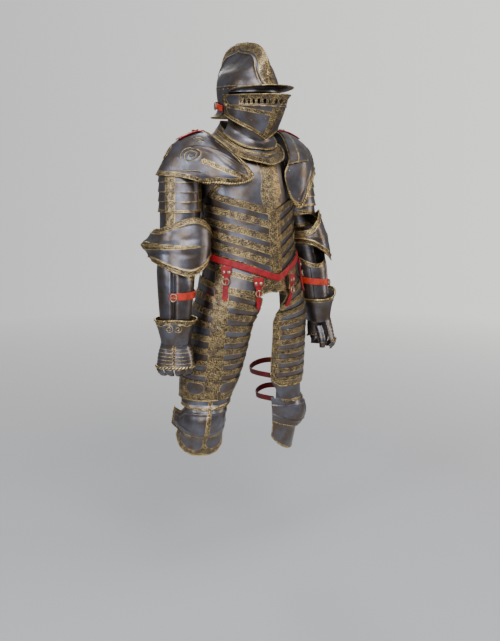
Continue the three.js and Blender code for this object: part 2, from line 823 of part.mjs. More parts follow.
const peakReach = (angle) => 58 * Math.max(0.05, 1 - (angle / (80 * degree)) ** 2) ** 0.8;
const peak = raised((angle, v) => {
  const p = sectionPoint(skullRows, angle, 1672, 2.1);
  const flat = new THREE.Vector3(p.x, p.y, 0).normalize();
  p.addScaledVector(flat, 0.8 + v * peakReach(angle));
  p.z = 1672 - 8 * v + 6 * Math.cos(angle);
  return onHead(p);
}, -1);
add(
  "helmet_peak",
  plateGeometry({
    skin: peak,
    across: steps(-80, 80, 12).map((a) => a * degree),
    down: [0, 0.5, 1],
    outer: () => 2,
    wall: 2.4,
  }),
);

// The face plate, keeled in front, strapped round the nape.
const faceRows = [
  { z: 1500, middle: 0, half: 88, front: 82, back: 120, ridge: 8 },
  { z: 1530, middle: 0, half: 98, front: 102, back: 120, ridge: 14 },
  { z: 1565, middle: 0, half: 104, front: 127, back: 120, ridge: 20 },
  { z: 1600, middle: 0, half: 107, front: 150, back: 120, ridge: 25 },
  { z: 1634, middle: 0, half: 109, front: 166, back: 120, ridge: 28 },
  { z: 1644, middle: 0, half: 110, front: 170, back: 120, ridge: 28 },
  { z: 1656, middle: 0, half: 113, front: 182, back: 120, ridge: 28 },
];
const faceReach = 93;
const faceFoot = (angle) => 1506 + 84 * (Math.abs(angle) / (faceReach * degree)) ** 1.1;
const face = raised((angle, z) => onHead(sectionPoint(faceRows, angle, z)));
const faceSolid = solidOf(
  plateGeometry({
    skin: (u, v, out) => {
      const angle = u * faceReach * degree;
      return face(angle, v < 1 ? mix(1656, 1600, v) : faceFoot(angle) + (2 - v) * (1600 - faceFoot(angle)), out);
    },
    across: steps(-1, 1, 16),
    down: [0, 0.25, 1, 2],
    outer: () => 2,
  }),
);
const slots = steps(-48, 48, 11).map((a) => {
  const p = face(a * degree, 1626, 0);
  const q = face(a * degree, 1626, 10);
  const heading = Math.atan2(q.y - p.y, q.x - p.x) / degree;
  return wasm.Manifold.cube([24, 4, 16], true).rotate([0, 0, heading]).translate(p.toArray());
});
add("face_plate", geometryFrom(slots.reduce((body, slot) => body.subtract(slot), faceSolid)));

// The throat plate runs from inside the face plate's foot to outside the collar's upper edge.
const throat = raised((angle, v) => {
  const top = face(angle, faceFoot(angle) + 12, -4.5);
  const foot = roundNeck(angle, collarAt("upperRadius", angle) + 10, collarAt("upper", angle) - 5);
  const p = top.lerp(foot, v);
  const inward = new THREE.Vector3(p.x, p.y - neckMiddle.y, 0).normalize();
  return p.addScaledVector(inward, -18 * Math.sin(v * Math.PI));
}, -1);
add(
  "throat_plate",
  plateGeometry({
    skin: throat,
    across: steps(-96, 96, 12).map((a) => a * degree),
    down: [0, 0.35, 0.7, 1],
    outer: () => 2,
  }),
);
add(
  "nape_strap",
  plateGeometry({
    skin: (u, v, out) => {
      const angle = mix(105, 255, u) * degree;
      return raised((a, z) => skullPoint(a, z))(angle, 1622 + 9 * (1 - 2 * v), out);
    },
    across: steps(0, 1, 10),
    down: [0, 1],
    outer: () => 6.5,
    wall: leather,
  }),
  "leather",
);

export default armour;
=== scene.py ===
import math
import bpy
import numpy as np
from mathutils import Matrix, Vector


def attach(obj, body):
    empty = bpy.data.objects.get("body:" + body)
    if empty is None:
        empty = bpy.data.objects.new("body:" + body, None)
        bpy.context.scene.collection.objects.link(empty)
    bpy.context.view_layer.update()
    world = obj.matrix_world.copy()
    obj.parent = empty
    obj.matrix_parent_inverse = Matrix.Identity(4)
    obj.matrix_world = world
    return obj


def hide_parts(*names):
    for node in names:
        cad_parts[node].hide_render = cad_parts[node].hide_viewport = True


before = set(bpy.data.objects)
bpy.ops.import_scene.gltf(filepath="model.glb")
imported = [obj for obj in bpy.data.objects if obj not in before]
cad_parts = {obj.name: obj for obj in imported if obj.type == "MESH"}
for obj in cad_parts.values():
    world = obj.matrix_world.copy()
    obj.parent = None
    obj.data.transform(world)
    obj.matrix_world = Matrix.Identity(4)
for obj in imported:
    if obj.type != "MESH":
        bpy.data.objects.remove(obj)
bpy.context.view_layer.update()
print("frame loaded")

# All tables are in millimetres, with heights above the soles. The wearer faces -Y, +X is the left.
shoulderHeight = 1440
leftRight = (("left", 1), ("right", -1))
degree = math.pi / 180
mergeDistance = 0.00002  # in metres, below which two points become one
notGilt = -99.0  # a band's value where there is none


# numbers and nets of points

def mix(a, b, t):
    return a + (b - a) * t


def ease(t):
    t = np.clip(t, 0, 1)
    return t * t * (3 - 2 * t)


def wrapped(angle):  # the same angle, within half a turn each way
    return np.arctan2(np.sin(angle), np.cos(angle))


def net(across, down):  # two coordinates for every point of a net
    return np.meshgrid(across, down, indexing="ij")


def shares(across, down, start=-1):  # shares of the way across, from start to 1, and down
    return net(np.linspace(start, 1, across), np.linspace(0, 1, down))


def ringNet(around, down, start=-math.pi):  # angles once round, and shares of the way down
    return net(np.linspace(start, start + 2 * math.pi, around)[:-1], np.linspace(0, 1, down))


def along(rows, at):  # a smooth line through a table's rows, keyed by their first column
    table = np.array(sorted(rows), float)
    keys = table[:, 0]
    at = np.clip(np.asarray(at, float), keys[0], keys[-1])
    count = np.arange(len(keys))
    before, after = np.maximum(count - 1, 0), np.minimum(count + 1, len(keys) - 1)
    slopes = (table[after] - table[before]) / (keys[after] - keys[before])[:, None]
    i = np.clip(np.searchsorted(keys, at, side="right") - 1, 0, len(keys) - 2)
    span = (keys[i + 1] - keys[i])[..., None]
    t = (at - keys[i])[..., None] / span
    made = table[i] * (2 * t ** 3 - 3 * t ** 2 + 1) + table[i + 1] * (3 * t ** 2 - 2 * t ** 3)
    made = made + span * (slopes[i] * (t ** 3 - 2 * t ** 2 + t) + slopes[i + 1] * (t ** 3 - t ** 2))
    return [made[..., k] for k in range(1, table.shape[1])]


def normals(points, closed=False, up=None):
    du = np.roll(points, -1, 0) - np.roll(points, 1, 0) if closed else np.gradient(points, axis=0)
    made = np.cross(du, np.gradient(points, axis=1))
    made /= np.linalg.norm(made, axis=-1, keepdims=True) + 1e-9
    away = points - points.mean((0, 1)) if up is None else np.array(up)
    return made * (1 if np.sum(made * away) > 0 else -1)


def raised(points, out, closed=False, up=None):
    return points + normals(points, closed, up) * np.asarray(out)[..., None]


def lengths(points):  # distances along the net, across it from its middle and down from its top
    across = np.linalg.norm(np.diff(points, axis=0), axis=-1).cumsum(0)
    across = np.concatenate([0 * across[:1], across])
    down = np.linalg.norm(np.diff(points, axis=1), axis=-1).cumsum(1)
    down = np.concatenate([0 * down[:, :1], down], 1)
    return across - across[len(across) // 2], down


def bands(points, top=0, bottom=0, side=0, middle=0, inner=0, outer=0):  # how far inside a gilt band
    across, down = lengths(points)
    made = np.full(across.shape, notGilt)
    for width, away in ((top, down), (bottom, down[:, -1:] - down), (middle, abs(across)),
                        (max(side, inner), across - across[:1]),
                        (max(side, outer), across[-1:] - across)):
        if width:
            made = np.maximum(made, width - away)
    return made


def emboss(points, lines, width, height, closed=False):  # raises round ridges along lines
    lift = np.zeros(points.shape[:2])
    for line in lines:
        for p in line:
            near = np.linalg.norm(points - p, axis=-1) / width
            lift = np.maximum(lift, height * np.clip(1 - near ** 2, 0, 1) ** 1.5)
    return raised(points, lift, closed)


def evenly(path, gap):  # the same path with its points a set distance apart
    path = np.asarray(path, float)
    run = np.concatenate([[0], np.linalg.norm(np.diff(path, axis=0), axis=1).cumsum()])
    at = np.linspace(0, run[-1], max(4, int(run[-1] / gap)))
    return np.stack([np.interp(at, run, path[:, k]) for k in range(path.shape[1])], 1)


# materials

def colour(hexCode):  # sRGB hex to linear
    parts = [int(hexCode[k:k + 2], 16) / 255 for k in (1, 3, 5)]
    return [c / 12.92 if c <= 0.04045 else ((c + 0.055) / 1.055) ** 2.4 for c in parts] + [1]


def addNode(material, kind, settings=(), **links):
    made = material.node_tree.nodes.new("ShaderNode" + kind)
    for name, value in dict(settings).items():
        if isinstance(name, int) or name in made.inputs:
            made.inputs[name].default_value = value
        else:
            setattr(made, name, value)
    for name, source in links.items():
        key = int(name[1:]) if name[0] == "i" and name[1:].isdigit() else name.replace("_", " ")
        material.node_tree.links.new(source, made.inputs[key])
    return made


def newMaterial(name):
    material = bpy.data.materials.new(name)
    material.use_nodes = True
    shader = material.node_tree.nodes["Principled BSDF"]
    return material, shader


def maths(material, operation, a, b=0.0):
    made = addNode(material, "Math", {"operation": operation})
    for k, value in enumerate((a, b)):
        if isinstance(value, (int, float)):
            made.inputs[k].default_value = value
        else:
            material.node_tree.links.new(value, made.inputs[k])
    return made.outputs[0]


def blended(material, share, a, b):
    made = addNode(material, "Mix", {"data_type": "RGBA"})
    for k, value in ((0, share), (6, a), (7, b)):
        if isinstance(value, (list, float)):
            made.inputs[k].default_value = value
        else:
            material.node_tree.links.new(value, made.inputs[k])
    return made.outputs[2]


def noise(material, vector, scale, detail, output=0):
    made = addNode(material, "TexNoise", {"Scale": scale, "Detail": detail}, Vector=vector)
    return made.outputs[output]


def ranged(material, value, low, high, to=(0.0, 1.0)):
    settings = {"From Min": low, "From Max": high, "To Min": to[0], "To Max": to[1]}
    return addNode(material, "MapRange", settings, Value=value).outputs[0]


steelLook = {"blue": "#777a85", "brown": "#675b51", "ground": "#3d3630", "gold": "#e6c888",
             "wornGold": "#93816a", "rim": "#ecd193", "rimDark": "#84704c"}


def makeGildedSteel():  # carbon steel, forged, heat-darkened blue-brown, its bands etched and fire-gilt
    material, shader = newMaterial("darkened etched and gilt steel")
    place = addNode(material, "TexCoord").outputs["Object"]
    span = addNode(material, "UVMap", {"uv_map": "span"}).outputs[0]
    gilt = addNode(material, "Attribute", {"attribute_name": "gilt"}).outputs["Fac"]
    # patina in patches of 30 to 60 mm, with a grain of about 2 mm left by polishing
    patches = noise(material, place, 21.0, 3.0)
    grain = noise(material, place, 420.0, 3.0)
    share = ranged(material, maths(material, "ADD", patches, maths(material, "MULTIPLY", grain, 0.5)),
                   0.52, 0.88)
    steel = blended(material, share, colour(steelLook["blue"]), colour(steelLook["brown"]))
    # scrolls of foliage, one in each cell of about 14 mm
    sway = noise(material, span, 130.0, 1.0, 1)
    swayed = addNode(material, "VectorMath", {"operation": "MULTIPLY_ADD", 1: (0.005, 0.005, 0)},
                     i0=sway, i2=span).outputs[0]
    cells = addNode(material, "TexVoronoi", {"voronoi_dimensions": "2D", "Scale": 72.0,
                                             "Randomness": 0.55}, Vector=swayed)
    within = addNode(material, "VectorMath", {"operation": "SUBTRACT"}, i0=swayed,
                     i1=cells.outputs["Position"]).outputs[0]
    parts = addNode(material, "SeparateXYZ", i0=within).outputs
    turn = maths(material, "ARCTAN2", parts[1], parts[0])
    swirl = maths(material, "SINE", maths(material, "ADD", turn, maths(
        material, "MULTIPLY", cells.outputs["Distance"], 17.0)))
    speck = noise(material, place, 260.0, 2.0)
    leaf = maths(material, "ADD", swirl, maths(material, "MULTIPLY", speck, 5.0))
    leaf = ranged(material, leaf, 2.45, 2.95)
    inside = ranged(material, gilt, -0.2, 0.2)
    line = maths(material, "MULTIPLY", ranged(material, gilt, 0.3, 0.6), ranged(material, gilt, 2.1, 1.6))
    cover = maths(material, "MULTIPLY", maths(material, "MAXIMUM", leaf, line), inside)
    wear = noise(material, place, 60.0, 4.0)
    gold = blended(material, ranged(material, wear, 0.36, 0.62), colour(steelLook["gold"]),
                   colour(steelLook["wornGold"]))
    under = blended(material, inside, steel, colour(steelLook["ground"]))
    base = blended(material, cover, under, gold)
    links = material.node_tree.links
    links.new(base, shader.inputs["Base Color"])
    rough = ranged(material, maths(material, "ADD", grain, maths(material, "MULTIPLY", inside, 0.35)),
                   0.3, 1.1, (0.3, 0.5))
    links.new(rough, shader.inputs["Roughness"])
    dents = noise(material, place, 34.0, 2.0)
    height = maths(material, "ADD", maths(material, "MULTIPLY", dents, 2.2), maths(
        material, "ADD", maths(material, "MULTIPLY", cover, 0.16), maths(material, "MULTIPLY", grain, 0.05)))
    bump = addNode(material, "Bump", {"Strength": 0.5, "Distance": 0.001}, Height=height)
    links.new(bump.outputs[0], shader.inputs["Normal"])
    shader.inputs["Metallic"].default_value = 1.0
    return material


def makeDarkSteel():  # the unpolished inside of the plates, black from the forge, and made near-black as painted shade
    material, shader = newMaterial("forged steel darkened with painted shade")
    place = addNode(material, "TexCoord").outputs["Object"]
    scale = noise(material, place, 90.0, 5.0)
    base = blended(material, ranged(material, scale, 0.35, 0.7), colour("#0d0d0f"), colour("#1c1815"))
    material.node_tree.links.new(base, shader.inputs["Base Color"])
    bump = addNode(material, "Bump", {"Strength": 0.4, "Distance": 0.0006}, Height=scale)
    material.node_tree.links.new(bump.outputs[0], shader.inputs["Normal"])
    shader.inputs["Metallic"].default_value = 0.8
    shader.inputs["Roughness"].default_value = 0.62
    return material


def makeGiltEdge():  # fire-gilt steel on the roped edges, with painted shade in the hollows between the strands
    material, shader = newMaterial("fire gilt roped edge")
    place = addNode(material, "TexCoord").outputs["Object"]
    wear = noise(material, place, 75.0, 4.0)
    twist = addNode(material, "Attribute", {"attribute_name": "twist"}).outputs["Fac"]
    gold = blended(material, ranged(material, wear, 0.42, 0.66), colour(steelLook["rim"]),
                   colour(steelLook["rimDark"]))
    # the dark brown is painted shade, laid where the strand profile dips into a hollow
    base = blended(material, ranged(material, twist, 0.15, 0.7), colour("#2a2119"), gold)
    material.node_tree.links.new(base, shader.inputs["Base Color"])
    shader.inputs["Metallic"].default_value = 1.0
    shader.inputs["Roughness"].default_value = 0.36
    return material


def makeLeather(name, face, worn):  # vegetable-tanned hide, dyed through and waxed
    material, shader = newMaterial(name)
    place = addNode(material, "TexCoord").outputs["Object"]
    pores = addNode(material, "TexVoronoi", {"Scale": 600.0}, Vector=place).outputs["Distance"]
    stain = noise(material, place, 48.0, 5.0)
    base = blended(material, ranged(material, stain, 0.38, 0.72), colour(face), colour(worn))
    material.node_tree.links.new(base, shader.inputs["Base Color"])
    height = maths(material, "ADD", pores, maths(material, "MULTIPLY", stain, 0.6))
    bump = addNode(material, "Bump", {"Strength": 0.35, "Distance": 0.0006}, Height=height)
    material.node_tree.links.new(bump.outputs[0], shader.inputs["Normal"])
    material.node_tree.links.new(ranged(material, stain, 0.3, 0.7, (0.42, 0.62)), shader.inputs["Roughness"])
    shader.inputs["Specular IOR Level"].default_value = 0.4
    return material


def makeBrass():  # cast latten, tarnished, for buckles and rivets
    material, shader = newMaterial("tarnished latten")
    place = addNode(material, "TexCoord").outputs["Object"]
    tarnish = noise(material, place, 160.0, 4.0)
    base = blended(material, ranged(material, tarnish, 0.4, 0.68), colour("#c9b896"), colour("#6e6354"))
    material.node_tree.links.new(base, shader.inputs["Base Color"])
    shader.inputs["Metallic"].default_value = 1.0
    shader.inputs["Roughness"].default_value = 0.34
    return material


gildedSteel = makeGildedSteel()
darkSteel = makeDarkSteel()
giltEdge = makeGiltEdge()
crimson = makeLeather("crimson dyed leather", "#a3121b", "#6f0f14")
orangeRed = makeLeather("vermilion dyed leather", "#c6361c", "#8f2415")
darkRed = makeLeather("dark red dyed leather", "#6a1214", "#471012")
brass = makeBrass()
print("materials made")


# pieces

def dress(piece, materials, standsFor=(), smooth=38):
    for material in materials:
        piece.data.materials.append(material)
    bpy.ops.object.shade_smooth_by_angle(angle=smooth * degree)
    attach(piece, "root")
    if standsFor:
        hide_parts(*([standsFor] if isinstance(standsFor, str) else standsFor))
    return piece


def applyModifier(piece, kind, **settings):
    made = piece.modifiers.new(kind, kind)
    for name, value in settings.items():
        setattr(made, name, value)
    bpy.ops.object.modifier_apply(modifier=made.name)


def netPiece(name, points, closed=False, up=None, cut=None, **values):
    # a grid whose points are moved on to the net; each named value becomes an attribute of its points
    across, down = lengths(np.concatenate([points, points[:1]]) if closed else points)
    facing = normals(points, closed, up)
    plain = np.cross(np.gradient(points, axis=0), np.gradient(points, axis=1))
    inward = np.sum(plain * facing) < 0
    if closed:
        points = np.concatenate([points, points[:1]])
        values = {k: np.concatenate([v, v[:1]]) for k, v in values.items()}
    n, m = points.shape[:2]
    bpy.ops.object.select_all(action="DESELECT")
    bpy.ops.mesh.primitive_grid_add(x_subdivisions=n - 1, y_subdivisions=m - 1, size=2)
    piece = bpy.context.object
    piece.name = name
    mesh = piece.data
    flat = np.empty(len(mesh.vertices) * 3)
    mesh.vertices.foreach_get("co", flat)
    flat = flat.reshape(-1, 3)
    i = np.rint((flat[:, 0] + 1) / 2 * (n - 1)).astype(int)
    j = np.rint((flat[:, 1] + 1) / 2 * (m - 1)).astype(int)
    mesh.vertices.foreach_set("co", ((points[i, j] - [0, 0, shoulderHeight]) / 1000).ravel())
    corners = np.empty(len(mesh.loops), np.int32)
    mesh.loops.foreach_get("vertex_index", corners)
    mesh.uv_layers[0].name = "span"
    spans = np.stack([across[i, j], down[i, j]], 1)[corners] / 1000
    mesh.uv_layers[0].data.foreach_set("uv", spans.ravel())
    for key, value in values.items():
        layer = mesh.attributes.new(name=key, type="FLOAT", domain="POINT")
        layer.data.foreach_set("value", np.asarray(value, np.float32)[i, j])
    if inward:
        mesh.flip_normals()
    bpy.ops.object.mode_set(mode="EDIT")
    if cut is not None:
        bpy.ops.mesh.select_all(action="DESELECT")
        bpy.ops.object.mode_set(mode="OBJECT")
        place = {k: (i[k], j[k]) for k in range(len(i))}
        for face in mesh.polygons:
            corner = [place[k] for k in face.vertices]
            face.select = bool(cut[min(c[0] for c in corner), min(c[1] for c in corner)])
        bpy.ops.object.mode_set(mode="EDIT")
        bpy.ops.mesh.delete(type="FACE")
    bpy.ops.mesh.select_all(action="SELECT")
    if closed:
        bpy.ops.mesh.remove_doubles(threshold=mergeDistance)
    bpy.ops.object.mode_set(mode="OBJECT")
    return piece


def plate(name, points, standsFor=(), wall=2.0, closed=False, up=None, cut=None, gilt=None):
    gilt = np.full(points.shape[:2], notGilt) if gilt is None else gilt
    piece = netPiece(name, points, closed, up, cut, gilt=gilt)
    # the inner faces take the second material, near-black with painted shade
    applyModifier(piece, "SOLIDIFY", thickness=wall / 1000, offset=-1.0, material_offset=1)
    applyModifier(piece, "BEVEL", width=0.0005, segments=1, limit_method="ANGLE", angle_limit=55 * degree)
    return dress(piece, [gildedSteel, darkSteel], standsFor)


def awayFrom(points, x=0, y=0):  # the way out from an upright line, for patches too flat to tell by
    return (points.mean((0, 1)) - [x, y, 0]) * [1, 1, 0]


def strap(name, points, finish, standsFor=(), wall=3.0, closed=False, up=None):
    piece = netPiece(name, points, closed, up)
    applyModifier(piece, "SOLIDIFY", thickness=wall / 1000, offset=-1.0)
    applyModifier(piece, "BEVEL", width=0.0007, segments=2, limit_method="ANGLE", angle_limit=55 * degree)
    return dress(piece, [finish], standsFor)


def roped(name, path, side, radius=2.6, pitch=7.0, closed=False):
    # a turned edge filed into a rope: three strands that twist round the path
    both = evenly(np.concatenate([path, side], 1), 1.5)
    path, side = both[:, :3], both[:, 3:]
    ahead = np.gradient(path, axis=0)
    if closed:
        ahead[0] = ahead[-1] = ahead[0] + ahead[-1]
    ahead /= np.linalg.norm(ahead, axis=1, keepdims=True) + 1e-9
    side = side - ahead * np.sum(side * ahead, 1, keepdims=True)
    side /= np.linalg.norm(side, axis=1, keepdims=True) + 1e-9
    over = np.cross(ahead, side)
    run = np.arange(len(path)) * 1.5
    turn = np.linspace(0, 2 * math.pi, 11)[:-1]
    # the strand profile; the gilt edge material also lays painted shade where it is low, in the hollows
    wave = 0.5 + 0.5 * np.cos(2 * turn[:, None] + 2 * math.pi * run[None] / pitch)
    reach = radius * (0.78 + 0.3 * wave)
    ring = path[None] + reach[..., None] * (np.cos(turn)[:, None, None] * side[None]
                                            + np.sin(turn)[:, None, None] * over[None])
    piece = netPiece(name, ring, closed=True, twist=wave)
    if not closed:
        bpy.ops.object.mode_set(mode="EDIT")
        bpy.ops.mesh.fill_holes(sides=0)
        bpy.ops.object.mode_set(mode="OBJECT")
    return dress(piece, [giltEdge], smooth=60)


def moulding(name, path, points, radius, closed=False):
    # a plain gilt moulding that lies on a plate along a path
    out = normals(points, closed).reshape(-1, 3)
    spots = points.reshape(-1, 3)
    near = [np.argmin(((spots - p) ** 2).sum(1)) for p in path]
    side = out[near]
    lift = np.sum((spots[near] - path) * side, 1, keepdims=True)
    # its flanks, where the profile dips, take the gilt edge's painted shade
    return roped(name, path + side * (lift + 0.4), side, radius, 1e9)


def edgeRope(name, points, which, radius=2.6, pitch=7.0, closed=False, up=None, sink=1.0):
    out = normals(points, closed, up)
    pick = {"top": (slice(None), 0), "bottom": (slice(None), -1), "first": 0, "last": -1}[which]
    path, side = points[pick] - sink * out[pick], out[pick]
    if closed and which in ("top", "bottom"):
        path, side = np.concatenate([path, path[:1]]), np.concatenate([side, side[:1]])
    return roped(name, path, side, radius, pitch, closed)


def studs(name, places, outs, radius=2.2, height=0.55):
    # one domed rivet head, shaped once and set at each place
    bpy.ops.object.select_all(action="DESELECT")
    bpy.ops.mesh.primitive_uv_sphere_add(segments=10, ring_count=6, radius=radius / 1000)
    piece = bpy.context.object
    bpy.ops.object.mode_set(mode="EDIT")
    bpy.ops.mesh.select_all(action="SELECT")
    bpy.ops.mesh.bisect(plane_co=(0, 0, -0.0003), plane_no=(0, 0, 1), clear_inner=True, use_fill=True)
    bpy.ops.mesh.select_all(action="SELECT")
    bpy.ops.transform.resize(value=(1, 1, height), center_override=(0, 0, 0))
    bpy.ops.object.mode_set(mode="OBJECT")
    piece.name = name
    head = piece.data
    co = np.array([v.co[:] for v in head.vertices])
    faces = [list(f.vertices) for f in head.polygons]
    allPoints, allFaces = [], []
    for place, out in zip(places, outs):
        turned = np.array(Vector(out).to_track_quat("Z", "Y").to_matrix())
        allFaces += [[k + len(co) * len(allPoints) for k in f] for f in faces]
        allPoints.append(co @ turned.T + (np.asarray(place) - [0, 0, shoulderHeight]) / 1000)
    head.clear_geometry()
    head.from_pydata(np.concatenate(allPoints).tolist(), [], allFaces)
    return dress(piece, [brass], smooth=50)


def atPlaces(points, wanted):  # places just above a net, by share across and down
    out = normals(points)
    n, m = points.shape[0] - 1, points.shape[1] - 1
    at = [(int(round(a * n)), int(round(b * m))) for a, b in wanted]
    return [points[k] + out[k] * 0.3 for k in at], [out[k] for k in at]


def addPlaces(rivets, points, wanted):
    for kept, found in zip(rivets, atPlaces(points, wanted)):
        kept += found


def cast(name, points, ends=False):  # a piece of latten from a net that closes on itself
    piece = netPiece(name, points)
    bpy.ops.object.mode_set(mode="EDIT")
    bpy.ops.mesh.select_all(action="SELECT")
    bpy.ops.mesh.remove_doubles(threshold=mergeDistance)
    if ends:
        bpy.ops.mesh.fill_holes(sides=0)
    bpy.ops.mesh.normals_make_consistent(inside=False)
    bpy.ops.object.mode_set(mode="OBJECT")
    return dress(piece, [brass], smooth=60)


# trunk

# height, place of the middle, half width, front, back, ridge
trunkRows = ((930, 2, 200, 150, 146, 8), (990, 2, 190, 156, 136, 16), (1040, 2, 178, 161, 128, 26),
             (1100, 5, 172, 163, 128, 30), (1170, 10, 170, 163, 134, 32), (1260, 18, 170, 160, 140, 28),
             (1330, 26, 168, 157, 140, 18), (1400, 32, 152, 146, 132, 8), (1450, 38, 122, 126, 114, 2),
             (1490, 42, 98, 108, 92, 0), (1540, 42, 86, 100, 80, 0))
breastReach = ((900, 97), (1265, 97), (1305, 91), (1335, 77), (1365, 65), (1400, 55), (1450, 46))
ridgeReach = 60 * degree


def section(rows, angle, z, power=2.2):
    middle, half, front, back, ridge = along(rows, z)
    s, c = np.sin(angle), np.cos(angle)
    depth = np.where(c >= 0, front - ridge, back)
    reach = (abs(s / half) ** power + abs(c / depth) ** power) ** (-1 / power)
    turned = abs(np.arctan2(s, c))
    reach = reach + ridge * np.maximum(0, 1 - turned / ridgeReach) ** 2
    return np.stack([reach * s, middle - reach * c, z + 0 * reach], -1)


def reachAt(z):
    return along(breastReach, z)[0]


def breastNet(top, bottom, across=161, down=14):
    u, v = shares(across, down)
    z = mix(top(u), bottom(u), v)
    return section(trunkRows, u * reachAt(z) * degree, z), v


def backNet(top, bottom, across=121, down=14):
    u, v = shares(across, down)
    z = mix(top(u), bottom(u), v)
    return section(trunkRows, (180 + u * np.minimum(80, reachAt(z))) * degree, z), v


breast = {"edges": (1266, 1220, 1172, 1129, 1088, 1044), "foot": 1030, "waistRise": 84, "overlap": 8,
          "goldBand": 25, "middleBand": 27, "topField": 47, "step": 4.3}


def waistRise(u):
    return breast["waistRise"] * (1 - (1 - abs(u)) ** 1.3)


def makeBreast():
    edges = breast["edges"]
    last = len(edges) - 1

    def slant(k):
        return mix(0.72, 1, min(k, last) / last)

    points, v = breastNet(lambda u: 1424 + 26 * abs(u), lambda u: edges[0] + waistRise(u) * 0.72 - 8,
                          161, 60)
    points = raised(points, 2 + 0 * v)
    across = lengths(points)[0]
    field = breast["topField"] * (0.92 + 0.1 * np.cos(v * 9)) - abs(across)
    gilt = np.maximum(field, bands(points, side=17))
    plate("breast_top_plate", points, "breast_top", gilt=gilt)
    for k, which in enumerate(("first", "last")):
        edgeRope(f"armhole_rope_{k + 1}", points, which, 3.6, 8.5)
    rivets = [[], []]
    for i, edge in enumerate(edges):
        foot = edges[i + 1] - breast["overlap"] if i < last else breast["foot"] - 6
        points, v = breastNet(lambda u: edge + waistRise(u) * slant(i),
                              lambda u: foot + waistRise(u) * slant(i + 1))
        lift = 2.1 if i == 0 else 0.4 if i == last else 0
        points = raised(points, 2 + (breast["step"] + lift) * (1 - v) ** 1.25)
        gilt = bands(points, top=breast["goldBand"], middle=breast["middleBand"])
        if i == last:
            gilt = np.maximum(gilt, bands(points, bottom=12))
        plate(f"breast_lame_{i + 1}_plate", points, f"breast_lame_{i + 1}", gilt=gilt)
        addPlaces(rivets, points, [(a, 0.18) for a in (0.03, 0.2, 0.8, 0.97)])
    studs("breast_rivets", *rivets, radius=2.3)


backPlate = {"edges": (1300, 1236, 1176, 1126, 1092), "top": 1526, "fall": 70, "overlap": 8,
             "goldBand": 22, "middleBand": 20}


def makeBack():
    edges, overlap = backPlate["edges"], backPlate["overlap"]
    middle = backPlate["middleBand"]
    points, v = backNet(lambda u: backPlate["top"] - backPlate["fall"] * u * u,
                        lambda u: edges[0] - overlap + 0 * u, 121, 60)
    points = raised(points, 2 + 0 * v)
    plate("back_top_plate", points, "back_top", gilt=bands(points, side=14, middle=middle))
    rivets = [[], []]
    for i, edge in enumerate(edges[:-1]):
        points, v = backNet(lambda u: edge + 0 * u, lambda u: edges[i + 1] - overlap + 0 * u)
        points = raised(points, 2 + breast["step"] * (1 - v) ** 1.25)
        gilt = bands(points, top=backPlate["goldBand"], middle=middle)
        plate(f"back_lame_{i + 1}_plate", points, f"back_lame_{i + 1}", gilt=gilt)
        addPlaces(rivets, points, [(a, 0.18) for a in (0.04, 0.3, 0.7, 0.96)])
    studs("back_rivets", *rivets, radius=2.3)


skirt = {"top": 1040, "foot": 955, "rise": 70, "notch": 28, "rumpTop": 1078, "rumpFoot": 1010,
         "field": 100, "line": 38, "tabBand": 22, "tabAt": 205}


def skirtRise(u):
    return skirt["rise"] * (1 - (1 - abs(u)) ** 1.3)


def makeSkirt():
    points, v = breastNet(lambda u: skirt["top"] + skirtRise(u),
                          lambda u: skirt["foot"] + 0.75 * skirtRise(u)
                          + skirt["notch"] * np.maximum(0, 1 - (abs(u) / 0.24) ** 2), 161, 32)
    points = raised(points, mix(2, 3, v) - 5.5 * np.clip(1 - v / 0.28, 0, 1))
    across, down = lengths(points)
    gilt = np.maximum(bands(points, bottom=15), skirt["field"] - abs(across) - 0.3 * down)
    gilt = np.maximum(gilt, 9 - abs(down - skirt["line"]))
    gilt = np.maximum(gilt, skirt["tabBand"] - abs(abs(across) - skirt["tabAt"]))
    plate("skirt_lame_plate", points, "skirt_lame", gilt=gilt)
    edgeRope("skirt_lame_rope", points[45:116], "bottom", 2.4, 7)
    points, v = backNet(lambda u: skirt["rumpTop"] + 0 * u, lambda u: skirt["rumpFoot"] + 0 * u, 121, 20)
    points = raised(points, 1.6 + 0 * v)
    plate("rump_lame_plate", points, "rump_lame", gilt=bands(points, bottom=18, middle=20))
    edgeRope("rump_lame_rope", points, "bottom", 2.6)


belt = {"width": 22, "clear": 10.4, "wall": 3.0, "front": 1034, "rise": 74}


def beltHeight(angle):
    u = np.minimum(1, abs(wrapped(angle)) / (97 * degree))
    return belt["front"] + belt["rise"] * (1 - (1 - u) ** 1.3)


def makeBelt():
    angle, v = ringNet(241, 6)
    z = beltHeight(angle) + belt["width"] * (0.5 - v)
    points = raised(section(trunkRows, angle, z), belt["clear"] + 0 * v, closed=True)
    strap("waist_belt", points, crimson, "belt", belt["wall"], closed=True)


makeBreast()
makeBack()
makeSkirt()
makeBelt()
print("trunk made")


# legs

# height, place of the middle outwards and backwards, how far the leg is turned out
legPaths = {"right": ((380, 190, 54, 19), (540, 185, 40, 19), (720, 145, 26, 22), (980, 98, 4, 22)),
            "left": ((330, 131, 38, 48), (500, 137, 20, 48), (720, 119, 14, 40), (980, 98, 4, 25))}
# height above the knee, place of the middle, half width, front, back, ridge
legRows = ((-150, 0, 76, 68, 66, 0), (-70, 0, 80, 76, 76, 0), (0, 0, 82, 80, 80, 0), (80, 0, 88, 88, 88, 0),
           (150, 0, 98, 98, 96, 0), (250, 0, 104, 108, 104, 0), (450, 0, 108, 122, 112, 0))
legs = {"right": {"knee": 532, "hem": 652, "foot": 121}, "left": {"knee": 500, "hem": 618, "foot": 141}}
hems = {"right": 612, "left": 618}
tassets = {"top": 968, "lames": (2, 3, 3, 2), "base": (5, 5.9, 5.8, 6), "step": 4, "rise": 66,
           "from": 985, "to": 850, "overlap": 9, "goldBand": 0.38, "middleBand": 27}
innerReach = ((600, 92), (700, 84), (835, 70), (980, 60))


